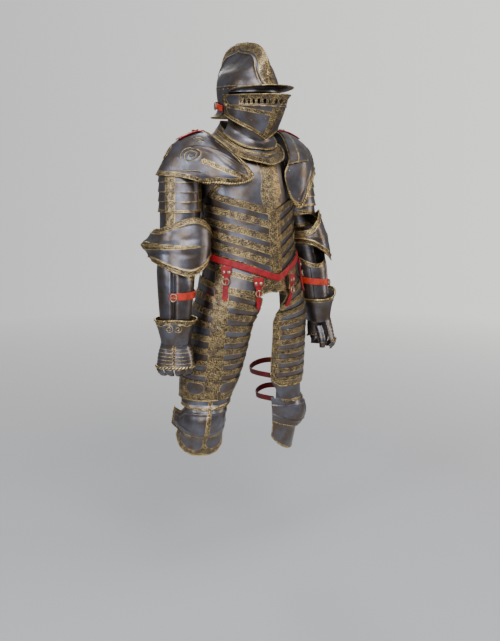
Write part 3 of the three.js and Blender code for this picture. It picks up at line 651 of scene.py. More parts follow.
def turned(points, angle):
    s, c = np.sin(angle), np.cos(angle)
    x, y, z = points[..., 0], points[..., 1], points[..., 2]
    return np.stack([x * c - y * s, x * s + y * c, z], -1)


def legPoint(side, angle, z):
    name, sign = side
    x, y, turn = along(legPaths[name], z)
    made = section(legRows, angle, z - legs[name]["knee"], 2.1)
    made[..., 2] = z
    made = turned(made, turn * degree)
    return np.stack([(made[..., 0] + x) * sign, made[..., 1] + y, made[..., 2]], -1)


def tassetPoint(side, u, z):
    t = ease((tassets["from"] - z) / (tassets["from"] - tassets["to"]))[..., None]
    hip = section(trunkRows, mix(20, 112, (u + 1) / 2) * degree, z)
    hip[..., 0] *= side[1]
    return mix(hip, legPoint(side, mix(-along(innerReach, z)[0], 96, (u + 1) / 2) * degree, z), t)


def tassetRise(u, share):
    return tassets["rise"] * (1 - np.clip(share * 1.7, 0, 1)) * (1 - ((1 - u) / 2) ** 1.4)


def makeTasset(side):
    name = side[0]
    hem = hems[name]
    count = sum(tassets["lames"])
    rivets = [[], []]
    for k in range(count if name == "left" else count - 1):
        last = k == (count - 1 if name == "left" else count - 2)
        end = count if last else k + 1
        body = [b for b in range(4) if k >= sum(tassets["lames"][:b])][-1]
        u, v = shares(101, 24 if k > 7 else 13)
        edges = [mix(tassets["top"], hem, share) + tassetRise(u, share)
                 for share in (k / count, end / count)]
        if last and name == "left":  # its inner corner is rounded
            edges[1] = edges[1] + 30 * np.clip((-0.72 - u) / 0.28, 0, 1) ** 2.2
        z = mix(edges[0], edges[1] - (0 if last else tassets["overlap"]), v)
        base = tassets["base"][body]
        points = tassetPoint(side, u, z)
        points = raised(points, base + tassets["step"] * (1 - v) ** 1.3 + 1.2 * np.sin(v * math.pi))
        across, down = lengths(points)
        gold = tassets["goldBand"] * down.max()
        if name == "left":
            gilt = bands(points, top=gold, inner=26)
        else:
            middle = tassets["middleBand"] - abs(across - 2)
            gilt = np.maximum(bands(points, top=gold, inner=13, outer=9), middle)
        if last and name == "left":
            gilt = np.maximum(gilt, bands(points, bottom=24, inner=22))
        elif last:  # two plain almond panels on an etched ground
            panel = np.hypot((abs(across - 2) - 62) / 1.55, down - 32 + 0.09 * abs(across))
            gilt = np.maximum(np.minimum(panel - 22, 40), bands(points, top=9, bottom=10))
        plate(f"{name}_tasset_lame_{k + 1}", points, f"{name}_tasset_{body + 1}", gilt=gilt)
        if last:
            edgeRope(f"{name}_tasset_hem_rope", points, "bottom", 3.0, 8)
        edgeRope(f"{name}_tasset_edge_{k + 1}", points, "first", 1.7, 6)
        addPlaces(rivets, points, [(0.05, 0.25), (0.5, 0.25), (0.94, 0.25)])
    studs(f"{name}_tasset_rivets", *rivets, radius=2.2)


knees = {"bulge": 24, "bulgeTurn": 60, "bulgeHeight": 62, "reach": 96, "wing": {"right": 12, "left": 2},
         "wingDip": {"right": 34, "left": 0}}


def kneeNet(side, top, bottom, reach, out, across=121, down=40):
    u, v = shares(across, down)
    angle, z = u * reach(v) * degree, mix(top(u), bottom(u), v)
    made = legPoint(side, angle, z)
    centre = mix(legPoint(side, angle + math.pi, z), made, 0.5)
    away = made - centre
    away /= np.linalg.norm(away, axis=-1, keepdims=True)
    h = z - legs[side[0]]["knee"]
    bulge = np.maximum(0, 1 - (angle / (knees["bulgeTurn"] * degree)) ** 2)
    bulge = bulge * np.maximum(0, 1 - (h / knees["bulgeHeight"]) ** 2)
    points = made + away * (knees["bulge"] * bulge ** 1.2)[..., None]
    return raised(points, out(u, v)), u, v


def makeKnee(side):
    name = side[0]
    knee, hem, foot = (legs[name][key] for key in ("knee", "hem", "foot"))
    plain = name == "left"
    points, u, v = kneeNet(side, lambda u: hem + 22 + 0 * u, lambda u: knee + 46 + 14 * u * u,
                           lambda v: mix(92, 70, v), lambda u, v: mix(-1.5, 8, v ** 1.5))
    gilt = bands(points, bottom=10, middle=0 if plain else 8)
    plate(f"{name}_knee_upper_plate", points, f"{name}_knee_upper", gilt=gilt)
    if not plain:
        edgeRope(f"{name}_knee_upper_rope", points, "bottom", 2.2)
    dip, wing, reach = knees["wingDip"][name], knees["wing"][name], knees["reach"]
    points, u, v = kneeNet(side, lambda u: knee + 58 + 14 * u * u - dip * ease((abs(u) - 0.5) / 0.3),
                           lambda u: knee - 52 + 30 * u * u, lambda v: reach + 0 * v,
                           lambda u, v: mix(3, 7.6, v) + wing * ease((u - 0.77) / 0.23), 161, 60)
    points = raised(points, 2.5 * np.exp(-((v - 0.22 - 0.12 * u * u) / 0.035) ** 2)
                    + 2.5 * np.exp(-((v - 0.8 + 0.1 * u * u) / 0.035) ** 2) + 3.5 * np.exp(-(u / 0.03) ** 2))
    gilt = bands(points, bottom=5) if plain else bands(points, top=9, bottom=11, middle=9, outer=12)
    plate(f"{name}_knee_cup_plate", points, f"{name}_knee_cup", gilt=gilt)
    if not plain:
        edgeRope(f"{name}_knee_wing_rope", points, "last", 2.4, sink=0.5)
    points, u, v = kneeNet(side, lambda u: knee - 40 + 30 * u * u, lambda u: knee - foot + 62 * abs(u) ** 2.6,
                           lambda v: reach + 0 * v if plain else mix(68, 94, v), lambda u, v: mix(1, 3, v))
    across, down = lengths(points)
    gilt = bands(points, bottom=6, side=5)
    if not plain:  # two plain panels on an etched ground
        panel = np.hypot((abs(across) - 52) / 1.5, (down - 42) + 0.12 * abs(across))
        gilt = np.maximum(np.minimum(panel - 31, 40), bands(points, bottom=9, side=9, top=8))
    plate(f"{name}_knee_lower_plate", points, f"{name}_knee_lower", gilt=gilt)
    edgeRope(f"{name}_knee_lower_rope", points, "bottom", 2.4)


thighStraps = {"aboveHem": 44, "aboveKnee": 66, "from": 84, "to": 270, "half": 10, "fall": 8}


def makeThighStrap(side):
    name = side[0]
    knee, hem = legs[name]["knee"], legs[name]["hem"]
    for k, height in enumerate((hem + thighStraps["aboveHem"], knee + thighStraps["aboveKnee"])):
        u, v = shares(81, 5, 0)
        z = height + thighStraps["half"] * (1 - 2 * v) - thighStraps["fall"] * u + 3 * np.sin(u * 9)
        angle = mix(thighStraps["from"], thighStraps["to"], u) * degree
        points = raised(legPoint(side, angle, z), -3 - 6 * k + 0 * v)
        strap(f"{name}_thigh_strap_{k + 1}", points, darkRed, f"{name}_thigh_strap" if k == 0 else ())


# place across the tasset, height of the top and of the foot
hipStraps = {"places": ((-0.87, 1032, 928), (-0.08, 1070, 958)), "half": 8.5, "clear": 15, "tabHalf": 16}


def makeHipStraps(side):
    name = side[0]
    # one strap hangs from the belt at the inner edge of each tasset, one further out
    for k, (middle, high, low) in enumerate(hipStraps["places"]):
        def onHip(x, y, out):  # places in millimetres across the strap and down from its top
            z = high - y
            here = tassetPoint(side, middle + 0 * x, z)
            gap = np.linalg.norm(tassetPoint(side, middle + 0.01 + 0 * x, z) - here, axis=-1) / 0.01
            made = tassetPoint(side, middle + x / gap, z)
            return raised(made, out, up=awayFrom(made))
        label = f"{name}_hip_strap_{k + 1}"
        u, v = shares(15, 41)
        tip = np.sqrt(np.clip(1 - ((v - 0.9) / 0.1) ** 2, 0.05, 1)) * (v > 0.9) + (v <= 0.9)
        out = hipStraps["clear"] + 1.2 * np.sin(v * 7)
        points = onHip(u * hipStraps["half"] * tip, v * (high - low), out)
        strap(label, points, crimson, f"{name}_tasset_strap" if k == 0 else (), up=awayFrom(points))
        # the two-lobed tab with a rivet in each lobe
        u, v = shares(41, 12)
        lobe = 24 + 8 * np.sqrt(np.clip(1 - ((abs(u) - 0.5) / 0.5) ** 2, 0, 1))
        points = onHip(u * hipStraps["tabHalf"], v * lobe - 6, 18.2 + 0 * v)
        strap(f"{label}_tab", points, crimson, wall=2.5, up=awayFrom(points))
        out = normals(points, up=awayFrom(points))
        at = [(10, 7), (30, 7)]
        studs(f"{label}_washers", [points[p] for p in at], [out[p] for p in at], radius=5.4, height=0.16)
        studs(f"{label}_rivets", [points[p] + out[p] * 0.5 for p in at], [out[p] for p in at], radius=3.4)
        # the ring buckle below the tab
        across = points[-1, 5] - points[0, 5]
        across = across / np.linalg.norm(across)
        x, y = net(np.array([-0.5, 0.5]), np.array([48.0, 49.0]))
        place = onHip(x, y, 18.5 + 0 * x)
        makeBuckle(f"{label}_buckle", place[0, 0], across, out[20, 5], 12)


def makeBuckle(name, place, side, facing, size=11):  # a ring and a tongue, cast in latten
    lengthwise = np.cross(facing, side)
    turn = np.linspace(0, 2 * math.pi, 33)[:-1]
    path = [place + size * (math.cos(a) * side + 0.86 * math.sin(a) * lengthwise) for a in turn]
    rings = []
    for k, a in enumerate(turn):
        away = math.cos(a) * side + math.sin(a) * lengthwise
        rings.append([path[k] + 1.9 * (math.cos(b) * away + math.sin(b) * facing)
                      for b in np.linspace(0, 2 * math.pi, 9)])
    points = np.array(rings)
    cast(name, np.concatenate([points, points[:1]]))
    # the tongue, from one side of the ring to the other
    tongue = np.array([[place + lengthwise * size * 0.9 * t + facing * (1.2 + 1.6 * math.sin(2 * abs(t)))
                        + 1.3 * (math.cos(b) * side + math.sin(b) * facing)
                        for b in np.linspace(0, 2 * math.pi, 9)] for t in np.linspace(-1, 1, 12)])
    cast(f"{name}_tongue", tongue, ends=True)


for side in leftRight:
    makeTasset(side)
    makeKnee(side)
    makeThighStrap(side)
    makeHipStraps(side)
print("legs made")


# arms

# height, place of the middle outwards and backwards
armPaths = {"right": ((690, 317, -8), (880, 308, 2), (1030, 297, 15), (1132, 284, 32), (1240, 260, 50),
                      (1400, 248, 64)),
            "left": ((690, 322, -31), (880, 307, -4), (1030, 295, 17), (1132, 282, 34), (1240, 261, 56),
                     (1400, 246, 64))}
armRows = ((870, 0, 46, 46, 46, 0), (960, 0, 55, 54, 54, 0), (1060, 0, 62, 60, 60, 0),
           (1120, 0, 60, 60, 60, 0), (1180, 0, 66, 66, 66, 0), (1260, 0, 72, 72, 72, 0),
           (1420, 0, 74, 74, 74, 0))
# points of the shoulder plate from its neck edge to the arm, each row from front over to back
shoulderRows = (((92, -113, 1341), (68, -113, 1380), (110, -84, 1444), (160, 50, 1532), (112, 140, 1466),
                 (96, 168, 1350)),
                ((150, -112, 1341), (150, -118, 1386), (180, -78, 1460), (214, 50, 1522), (174, 146, 1472),
                 (160, 164, 1350)),
                ((200, -88, 1350), (216, -86, 1390), (248, -38, 1450), (280, 54, 1484), (244, 130, 1452),
                 (218, 146, 1354)),
                ((228, -52, 1362), (256, -42, 1370), (296, -8, 1380), (336, 60, 1386), (302, 128, 1382),
                 (240, 146, 1362)))
# the left front wing reaches lower than the right one, which is cut back for the lance
leftWing = ((104, -116, 1264), (150, -110, 1270), (204, -90, 1292), (258, -48, 1326))


def netThrough(rows, u, v):
    lines = np.array([np.stack(along([(k / (len(row) - 1), *p) for k, p in enumerate(row)], u), -1)
                      for row in rows])
    last = len(rows) - 1
    i = np.clip((v * last).astype(int), 0, last - 1)
    t = (v * last - i)[..., None]

    def row(k):
        return np.take_along_axis(lines, np.clip(k, 0, last)[None, ..., None], 0)[0]

    def slope(k):
        gap = np.minimum(k + 1, last) - np.maximum(k - 1, 0)
        return (row(k + 1) - row(k - 1)) / gap[..., None]

    return (row(i) * (2 * t ** 3 - 3 * t ** 2 + 1) + row(i + 1) * (3 * t ** 2 - 2 * t ** 3)
            + slope(i) * (t ** 3 - 2 * t ** 2 + t) + slope(i + 1) * (t ** 3 - t ** 2))


def armMiddle(side, z):
    x, y = along(armPaths[side[0]], z)
    return np.stack([x * side[1], y, z + 0 * x], -1)


def armPoint(side, angle, z):
    made = section(armRows, angle, z, 2)
    return np.stack([made[..., 0] * side[1], made[..., 1], 0 * z], -1) + armMiddle(side, z)


def shoulderPoint(side, u, v):
    rows = [list(row) for row in shoulderRows]
    if side[0] == "left":
        for row, foot in zip(rows, leftWing):
            row[0] = foot
    return netThrough(rows, np.clip(u, 0, 1), np.clip(v, 0, 1)) * [side[1], 1, 1]


def uvLine(side, places):  # a line on the shoulder plate through some places on it
    path = evenly(np.array(places, float), 0.012)
    return shoulderPoint(side, path[:, :1], path[:, 1:])[:, 0]


scrollScale = (0.0021, 0.0042)  # shares of the shoulder plate's net in a millimetre


def scroll(u, v, size, turns=2.1, start=0.0, hand=1):  # a spiral in millimetres, in shares of the net
    a = np.linspace(0, turns * 2 * math.pi, 60)
    r = size * (1 - 0.86 * a / a[-1])
    return np.stack([u + r * np.cos(start + hand * a) * scrollScale[0],
                     v + r * np.sin(start + hand * a) * scrollScale[1]], 1)


def makeShoulder(side):
    name = side[0]
    u, v = shares(221, 111, 0)
    corner = 0.5 if name == "right" else 0.2  # the wing's end is rounded, and the left one pointed
    cutBack = 0.5 * corner * (1 - np.sqrt(np.clip(1 - np.clip(1 - v / corner, 0, 1) ** 2, 0, 1)))
    if name == "right":
        cutBack = cutBack + 0.07 * np.sin(math.pi * v) ** 0.8
    else:
        cutBack = cutBack + 0.3 * np.clip((v - 0.3) / 0.7, 0, 1) ** 1.2
    points = raised(shoulderPoint(side, mix(cutBack, 1, u), v), 2 + 0 * u)
    # long flutes that sweep down the wing, and volutes with a gilt line
    if name == "right":
        flutes = [uvLine(side, [(0.47 - 0.02 * k, 0.58 - 0.05 * k), (0.43 - 0.036 * k, 0.42 - 0.01 * k),
                                (0.37 - 0.042 * k, 0.27), (0.3 - 0.045 * k, 0.12)]) for k in range(4)]
        volutes = [scroll(0.425, 0.7, 33, 2.2, 0.6, -1), scroll(0.515, 0.385, 17, 1.5, 0.4, 1)]
        borders = [[(0.5, 0.96), (0.42, 0.93), (0.34, 0.88), (0.27, 0.8)],
                   [(0.5, 0.12), (0.36, 0.1), (0.22, 0.1), (0.13, 0.12)]]
    else:
        flutes = [uvLine(side, [(0.36 - 0.04 * k, 0.7), (0.24 - 0.03 * k, 0.6), (0.1, 0.46 - 0.06 * k),
                                (0.03, 0.3 - 0.05 * k)]) for k in range(2)]
        volutes = [scroll(0.45, 0.7, 28, 2.0, 1.2, -1)]
        borders = [[(0.4, 0.93), (0.28, 0.8), (0.15, 0.62), (0.04, 0.5)],
                   [(0.36, 0.8), (0.26, 0.68), (0.14, 0.5), (0.04, 0.36)]]
    volutes.append(scroll(0.66, 0.74, 32, 2.1, 2.0, 1))
    lines = [uvLine(side, line) for line in volutes + borders]
    shaped = emboss(emboss(points, flutes, 8.5, 3.4), lines, 4.5, 1.6)
    gilt = bands(shaped, top=34 if name == "right" else 12, bottom=15, inner=19, outer=16)
    near = uvLine(side, [(0.33, 0.66), (0.27, 0.52), (0.22, 0.35), (0.18, 0.16)] if name == "right" else
                  [(0.38, 0.87), (0.27, 0.74), (0.145, 0.56), (0.04, 0.43)])
    for p in near:  # the etched band between the flutes of the wing
        gilt = np.maximum(gilt, 9 - np.linalg.norm(points - p, axis=-1))
    for k, line in enumerate(lines):
        moulding(f"{name}_shoulder_line_{k + 1}", line, shaped, 1.3)
    plate(f"{name}_shoulder_plate", shaped, f"{name}_shoulder", gilt=gilt)
    edgeRope(f"{name}_shoulder_neck_rope", points, "top", 2.6, 7.5)
    edgeRope(f"{name}_shoulder_arm_rope", points, "bottom", 2.2, 7)
    edgeRope(f"{name}_shoulder_front_rope", points, "first", 5.0, 9)
    edgeRope(f"{name}_shoulder_back_rope", points, "last", 3.4, 9)
    studs(f"{name}_shoulder_rivets", *atPlaces(points, [(0.3, 0.62), (0.05, 0.2), (0.05, 0.5), (0.05, 0.8),
                                                        (0.22, 0.06), (0.5, 0.9), (0.62, 0.9), (0.38, 0.9),
                                                        (0.76, 0.9), (0.9, 0.5)]), radius=2.6)
    for k, (low, high) in enumerate(((0.0, 0.2), (0.16, 0.42)) if name == "left" else ()):
        a, b = net(np.linspace(0.3, 0.86, 101), np.linspace(low, high, 20))
        lame = raised(shoulderPoint(side, a, b), 8.6 - 3.0 * k - 1.2 * (b - low) / (high - low), up=(0, 0, 1))
        gilt = bands(lame, bottom=6, side=6)
        plate(f"{name}_shoulder_lame_{k + 1}", lame, up=(0, 0, 1), gilt=gilt, wall=1.6)
    # the strap that holds it to the collar, with its buckle
    b, a = shares(11, 41, 0)
    points = raised(shoulderPoint(side, 0.62 + 0.07 * (b - 0.5), mix(0.03, 0.56, a)),
                    (7.5 if name == "right" else 12.5) + 0 * a, up=(0, 0, 1))
    strap(f"{name}_shoulder_strap_leather", points, crimson, f"{name}_shoulder_strap", up=(0, 0, 1))
    out, middle = normals(points, up=(0, 0, 1)), points[5]
    across = (points[-1] - points[0]) / np.linalg.norm(points[-1] - points[0], axis=-1, keepdims=True)
    makeBuckle(f"{name}_shoulder_buckle", middle[12] + out[5, 12] * 2, across[12], out[5, 12], 12)


armBand = {"middle": 59 * degree, "half": 17, "radius": 66}


def onArmBand(angle):  # how far inside the upright gilt band
    return armBand["half"] - abs(wrapped(angle - armBand["middle"])) * armBand["radius"]


def makeArmLames(side):
    name = side[0]
    rivets = [[], []]
    for k in range(4):
        u, v = shares(121, 12)
        angle = (80 + u * 122) * degree
        z = mix(mix(1394, 1262, k / 4), mix(1394, 1262, (k + 1) / 4), v * 1.04)
        points = raised(armPoint(side, angle, z), 0.3 + 4 * v ** 1.3)
        gilt = np.maximum(onArmBand(angle), bands(points, side=26, bottom=3 if k < 3 else 8))
        plate(f"{name}_arm_lame_{k + 1}", points, f"{name}_arm_lames", gilt=gilt)
        addPlaces(rivets, points, [(0.03, 0.8), (0.42, 0.8), (0.97, 0.8)])
    edgeRope(f"{name}_arm_lame_rope", points, "bottom", 2.0, 7)
    studs(f"{name}_arm_lame_rivets", *rivets, radius=2.2)


elbowHeight = 1148
elbowPoint = {"right": 126, "left": 168}  # where the elbow's point faces, from the front outwards
# way round from the point, reach of the ridge and of the edges, spread of the edges up and down
elbowRows = ((-40, 91, 79, 45), (-18, 108, 81, 49), (0, 121, 83, 50), (20, 105, 81, 51), (45, 91, 79, 57),
             (90, 84, 79, 80), (125, 89, 84, 94), (150, 102, 95, 84), (172, 114, 108, 54),
             (190, 112, 108, 30), (215, 98, 95, 20), (250, 84, 82, 24), (290, 82, 79, 38), (320, 92, 79, 45))


def crook(side, angle):
    return (0.5 - 0.5 * np.cos(angle - elbowPoint[side[0]] * degree)) ** 1.5


def makeArmTubes(side):
    name = side[0]
    angle, v = ringNet(145, 40, 0)
    points = raised(armPoint(side, angle, mix(1272, 1170 + 62 * crook(side, angle), v)), -2 + 0 * v, True)
    gilt = np.maximum(bands(points, bottom=15), onArmBand(angle))
    plate(f"{name}_upper_arm_plate", points, f"{name}_upper_arm", closed=True, gilt=gilt)
    edgeRope(f"{name}_upper_arm_rope", points, "bottom", 2.6, 7, closed=True)
    angle, v = ringNet(145, 70, 0)
    valley = wrapped(angle - 40 * degree) * 58
    groove = 3.0 - 8.5 * np.exp(-(valley / 7) ** 2)
    points = raised(armPoint(side, angle, mix(1112 - 70 * crook(side, angle), 868, v)),
                    2 + groove * ease(v * 5) * ease((1 - v) * 9) * (abs(valley) < 80), True)
    plate(f"{name}_lower_arm_plate", points, f"{name}_lower_arm", closed=True, gilt=bands(points, top=14))
    edgeRope(f"{name}_lower_arm_rope", points, "top", 2.4, 7, closed=True)
    u, v = shares(73, 6, 0)
    slant = 0 if name == "right" else 22 * (u - 0.4)
    z = (985 if name == "right" else 975) + 12 * (1 - 2 * v) + slant
    points = raised(armPoint(side, mix(52, -110, u) * degree, z), 9 + 0 * v)
    strap(f"{name}_arm_strap_leather", points, orangeRed, f"{name}_arm_strap")
    out = normals(points)
    lengthwise = np.gradient(points, axis=1)[8, 3]
    lengthwise = lengthwise / np.linalg.norm(lengthwise)
    makeBuckle(f"{name}_arm_buckle", points[6, 3] + out[6, 3] * 2, lengthwise, out[6, 3], 12.5)


def makeElbow(side):
    name = side[0]
    turn, v = net(np.linspace(-40, 320, 241)[:-1], np.linspace(1, -1, 61))
    ridge, edge, spread = along(elbowRows, turn)
    share = abs(v)
    reach = mix(ridge, edge, share ** 1.2)
    angle = (elbowPoint[name] - turn) * degree
    z = elbowHeight + v * spread
    middle = armMiddle(side, z)
    points = middle + np.stack([reach * np.sin(angle) * side[1], -reach * np.cos(angle), 0 * z], -1)
    points = raised(points, 2 + 0 * v, closed=True)
    down = lengths(points)[1]
    rimAway = np.minimum(down, down[:, -1:] - down)
    # a raised moulding inside each etched border, and the ridge that runs over the point
    toPoint = np.clip(1 - abs(turn) / 145, 0, 1)
    lift = 2.2 * np.exp(-((rimAway - 17) / 2.6) ** 2) + 1.5 * toPoint ** 0.6 * np.exp(-(v * spread / 8) ** 2)
    lift = lift - 3.0 * toPoint ** 0.5 * np.exp(-((abs(v * spread) - 24) / 10) ** 2)
    shaped = raised(points, lift, closed=True)
    gilt = np.maximum(16 - rimAway, 3 - abs(rimAway - 17.5))
    ridgeHalf = 3 + 9 * toPoint  # half the height of the etched band on the ridge
    gilt = np.maximum(gilt, np.minimum(ridgeHalf - abs(v * spread), toPoint * 60))
    plate(f"{name}_elbow_plate", shaped, f"{name}_elbow", closed=True, gilt=gilt)
    edgeRope(f"{name}_elbow_upper_rope", shaped, "top", 2.6, 7, closed=True)
    edgeRope(f"{name}_elbow_lower_rope", shaped, "bottom", 2.6, 7, closed=True)
    # the roped ridge between two gilt lines, from the front side of the point round to its back
    at = [i for i in range(240) if -110 < turn[i, 0] < 138]
    out = normals(shaped, True)[at, 30]
    roped(f"{name}_elbow_ridge_rope", shaped[at, 30] - out * 1.0, out, 2.6, 7)

    def rowAt(i, place):  # the point of one column that lies a share of the way down it
        return [np.interp(place, np.arange(61), shaped[i, :, k]) for k in range(3)]

    for k, sign in enumerate((-1, 1)):
        path = np.array([rowAt(i, 30 * (1 + sign * ridgeHalf[i, 0] / spread[i, 0])) for i in at])
        moulding(f"{name}_elbow_ridge_line_{k + 1}", path, shaped, 1.5, True)
    for k, low in enumerate((False, True)):
        place = [np.interp(17, *((down[i, -1] - down[i, ::-1], np.arange(60, -1, -1)) if low else
                                 (down[i], np.arange(61)))) for i in range(240)]
        path = np.array([rowAt(i, place[i]) for i in list(range(240)) + [0]])
        moulding(f"{name}_elbow_border_{k + 1}", path, shaped, 2.0, True)


# height, place of the middle, half width, front, back, ridge
gauntletRows = ((686, 18, 48, 2, 20, 0), (697, 10, 54, 24, 20, 0), (712, 0, 59, 36, 30, 0),
                (722, 0, 61, 41, 36, 0), (736, 0, 59, 38, 36, 0), (772, 0, 54, 40, 38, 0),
                (802, 0, 47, 42, 40, 0), (850, 0, 57, 53, 50, 0), (886, 0, 70, 66, 60, 0))
# the same, and how far the thumb lies to the side
thumbRows = ((700, 0, 7, 7, 7, 0), (725, 0, 12, 12, 12, 0), (760, 0, 14, 14, 14, 0), (790, 0, 15, 15, 14, 0))
thumbAside = ((700, 32), (725, 38), (760, 34), (790, 26))
hands = {"turn": {"right": 38, "left": 92}, "shift": {"right": 14, "left": 24}, "knuckles": 729}


def handPoint(side, angle, z):
    shift = hands["shift"][side[0]]
    made = section(gauntletRows, angle, z - shift, 2.3)
    made[..., 2] = 0
    made = turned(made, hands["turn"][side[0]] * degree) * [side[1], 1, 1]
    return made + armMiddle(side, z)


def thumbPoint(side, angle, z):
    shift = hands["shift"][side[0]]
    made = section(thumbRows, angle, z - shift, 2)
    made[..., 2] = 0
    made = turned(made, -110 * degree)
    made[..., 0] -= along(thumbAside, z - shift)[0]
    made[..., 1] += 26
    return turned(made, hands["turn"][side[0]] * degree) * [side[1], 1, 1] + armMiddle(side, z)


def makeGauntlet(side):
    name = side[0]
    low = hands["shift"][name]
    angle, v = ringNet(145, 50, 0)
    near = wrapped(angle)
    z = mix(886, 798, v) + low
    base = handPoint(side, angle, z)
    flare = np.exp(-(near / 0.8) ** 2) * (1 - v) ** 2
    base[..., 2] += (8 if name == "right" else 30) * flare
    if name == "left":
        base[..., 0] += 22 * flare
    points = raised(base, 2 + 0 * v, True)
    eyes = []
    for s in (-1, 1):
        for line in (scroll(0, 0, 14, 1.6, math.pi / 2, s) * [1 / scrollScale[0], 1 / scrollScale[1]],
                     np.array([(0, 14), (14, 15), (28, 9), (42, 12)], float)):
            path = evenly(line, 1.2)
            a = s * (15 + path[:, 0]) / 62
            spot = handPoint(side, a[:, None], (862 + low + path[:, 1])[:, None])[:, 0]
            eyes.append(spot + [0, 0, 3])
    shaped = emboss(points, eyes, 5.5, 2.6, closed=True)
    gilt = bands(points, top=11)
    for k, line in enumerate(eyes):
        moulding(f"{name}_cuff_line_{k + 1}", line, shaped, 1.3, True)
    plate(f"{name}_cuff_plate", shaped, f"{name}_cuff", closed=True, gilt=gilt)
    edgeRope(f"{name}_cuff_rope", points, "top", 3.2, 8, closed=True)
    # lames over the back of the hand, each over the next towards the fingers
    places = np.linspace(806, hands["knuckles"] + 4, 7) + low
    for k in range(6):
        u, v = shares(91, 8)
        z = mix(places[k], places[k + 1] - 2.5, v)
        points = raised(handPoint(side, u * 98 * degree, z), 4.2 - k * 0.1 + 1.5 * v ** 1.5)
        gilt = np.maximum(bands(points, bottom=2), 8 - abs(u) * 98)
        plate(f"{name}_hand_lame_{k + 1}", points, f"{name}_hand", wall=1.4, gilt=gilt)
    u, z = net(np.linspace(-1, 1, 91), [hands["knuckles"] + low, hands["knuckles"] + low - 1])
    ridge = handPoint(side, u * 98 * degree, z)
    edgeRope(f"{name}_knuckle_rope", raised(ridge, 5 + 0 * u), "top", 4.8, 11, sink=0)
    for f in range(4):  # the scaled fingers, bent under the knuckles
        middle = (f - 1.5) * 46
        for k in range(3):
            u, v = shares(21, 7)
            z = mix(hands["knuckles"] + 1 - 10 * k, hands["knuckles"] - 11 - 10 * k, v) + low
            a = (middle + u * 21) * degree
            rounding = 5.2 * np.sqrt(np.clip(1 - u * u, 0, 1)) - 1.5
            points = handPoint(side, a, z)
            out = awayFrom(points, *armMiddle(side, np.array(z.mean()))[:2])
            points = raised(points, rounding + 1.2 * v - 1.5 * k, up=out)
            plate(f"{name}_finger_{f + 1}_scale_{k + 1}", points, f"{name}_hand", wall=1.2, up=out)
    for k in range(4):
        u, v = shares(31, 8)
        z = mix(786 - 20 * k, 786 - 20 * k - 23, v) + low
        points = raised(thumbPoint(side, u * 105 * degree, z), 1.4 + 1.6 * v)
        gilt = bands(points, bottom=2.5)
        plate(f"{name}_thumb_scale_{k + 1}", points, f"{name}_thumb", wall=1.2, gilt=gilt)


for side in leftRight:
    makeShoulder(side)
    makeArmLames(side)
    makeArmTubes(side)
    makeElbow(side)
    makeGauntlet(side)
print("arms made")


# collar and helmet

# way round the neck, upper edge, its radius, lower edge, its radius
collarRows = ((0, 1474, 88, 1418, 132), (45, 1486, 88, 1442, 126), (90, 1526, 92, 1488, 130),
              (130, 1566, 100, 1508, 150), (180, 1572, 108, 1500, 158))
neckBack = 8
head = {"back": 8, "turn": 6 * degree}
# sections of the skull piece up to the crest of its comb
skullRows = ((1584, 0, 108, 106, 156, 0), (1602, 0, 98, 108, 130, 0), (1626, 0, 98, 111, 121, 0),
             (1670, 0, 100, 114, 127, 0), (1705, 0, 96, 108, 130, 0), (1730, 0, 84, 98, 131, 0),
             (1753, 4, 61, 100, 131, 0), (1772, 10, 43, 106, 129, 0), (1790, 16, 30, 107, 123, 0),
             (1808, 22, 21, 102, 109, 0), (1825, 29, 15, 89, 86, 0), (1837, 33, 10, 66, 55, 0),
             (1843, 35, 5, 32, 26, 0))
faceRows = ((1500, 0, 88, 82, 120, 8), (1530, 0, 98, 102, 120, 14), (1565, 0, 104, 127, 120, 20),
            (1600, 0, 107, 150, 120, 25), (1634, 0, 109, 166, 120, 28), (1644, 0, 110, 170, 120, 28),
            (1656, 0, 113, 182, 120, 28))
face = {"reach": 93, "top": 1656, "foot": 1506, "rise": 84, "slotLow": 1624, "slotHigh": 1643, "slots": 15,
        "slotReach": 48, "keelBand": 26, "border": 13}
peak = {"reach": 58, "height": 1672, "drop": 8, "spread": 80, "tilt": 18}


skull = {"combBand": 33, "combLine": 44, "combFrom": 1690, "browLine": 1688, "footBand": 1600,
         "earFoot": 1606, "nape": 105}


def roundNeck(angle, radius, z):
    return np.stack([radius * np.sin(angle), neckBack - radius * np.cos(angle), z + 0 * angle], -1)


def collarAt(angle):
    return along(collarRows, abs(wrapped(angle)) / degree)


def onHead(points):
    return turned(points, head["turn"]) + [0, head["back"], 0]


def makeCollar():
    angle, v = ringNet(241, 40)
    upper, upperRadius, lower, lowerRadius = collarAt(angle)
    radius = mix(upperRadius, lowerRadius, v) - 7 * np.sin(v * math.pi)
    points = raised(roundNeck(angle, radius, mix(upper, lower, v)), 2 + 0 * v, True)
    lameEdge = 0.46
    stepped = raised(points, 1.8 * (1 - ease((v - lameEdge) * 40)) * (0.3 + v), True)
    down = lengths(stepped)[1]
    gilt = np.maximum(bands(stepped, bottom=27, top=4), 7 - abs(v - lameEdge + 0.03) * down[:, -1:])
    plate("collar_plate", stepped, "collar", closed=True, gilt=gilt)
    edgeRope("collar_lower_rope", stepped, "bottom", 3.2, 8, closed=True)
    edgeRope("collar_upper_rope", stepped, "top", 2.4, 7, closed=True)
    row = int(round(lameEdge * 39)) - 1
    out = normals(stepped, True)
    path, side = stepped[:, row] - 0.6 * out[:, row], out[:, row]
    roped("collar_middle_rope", np.concatenate([path, path[:1]]), np.concatenate([side, side[:1]]), 2.2, 7,
          closed=True)


def skullPoint(angle, z):
    return onHead(section(skullRows, angle, z, 2.1))


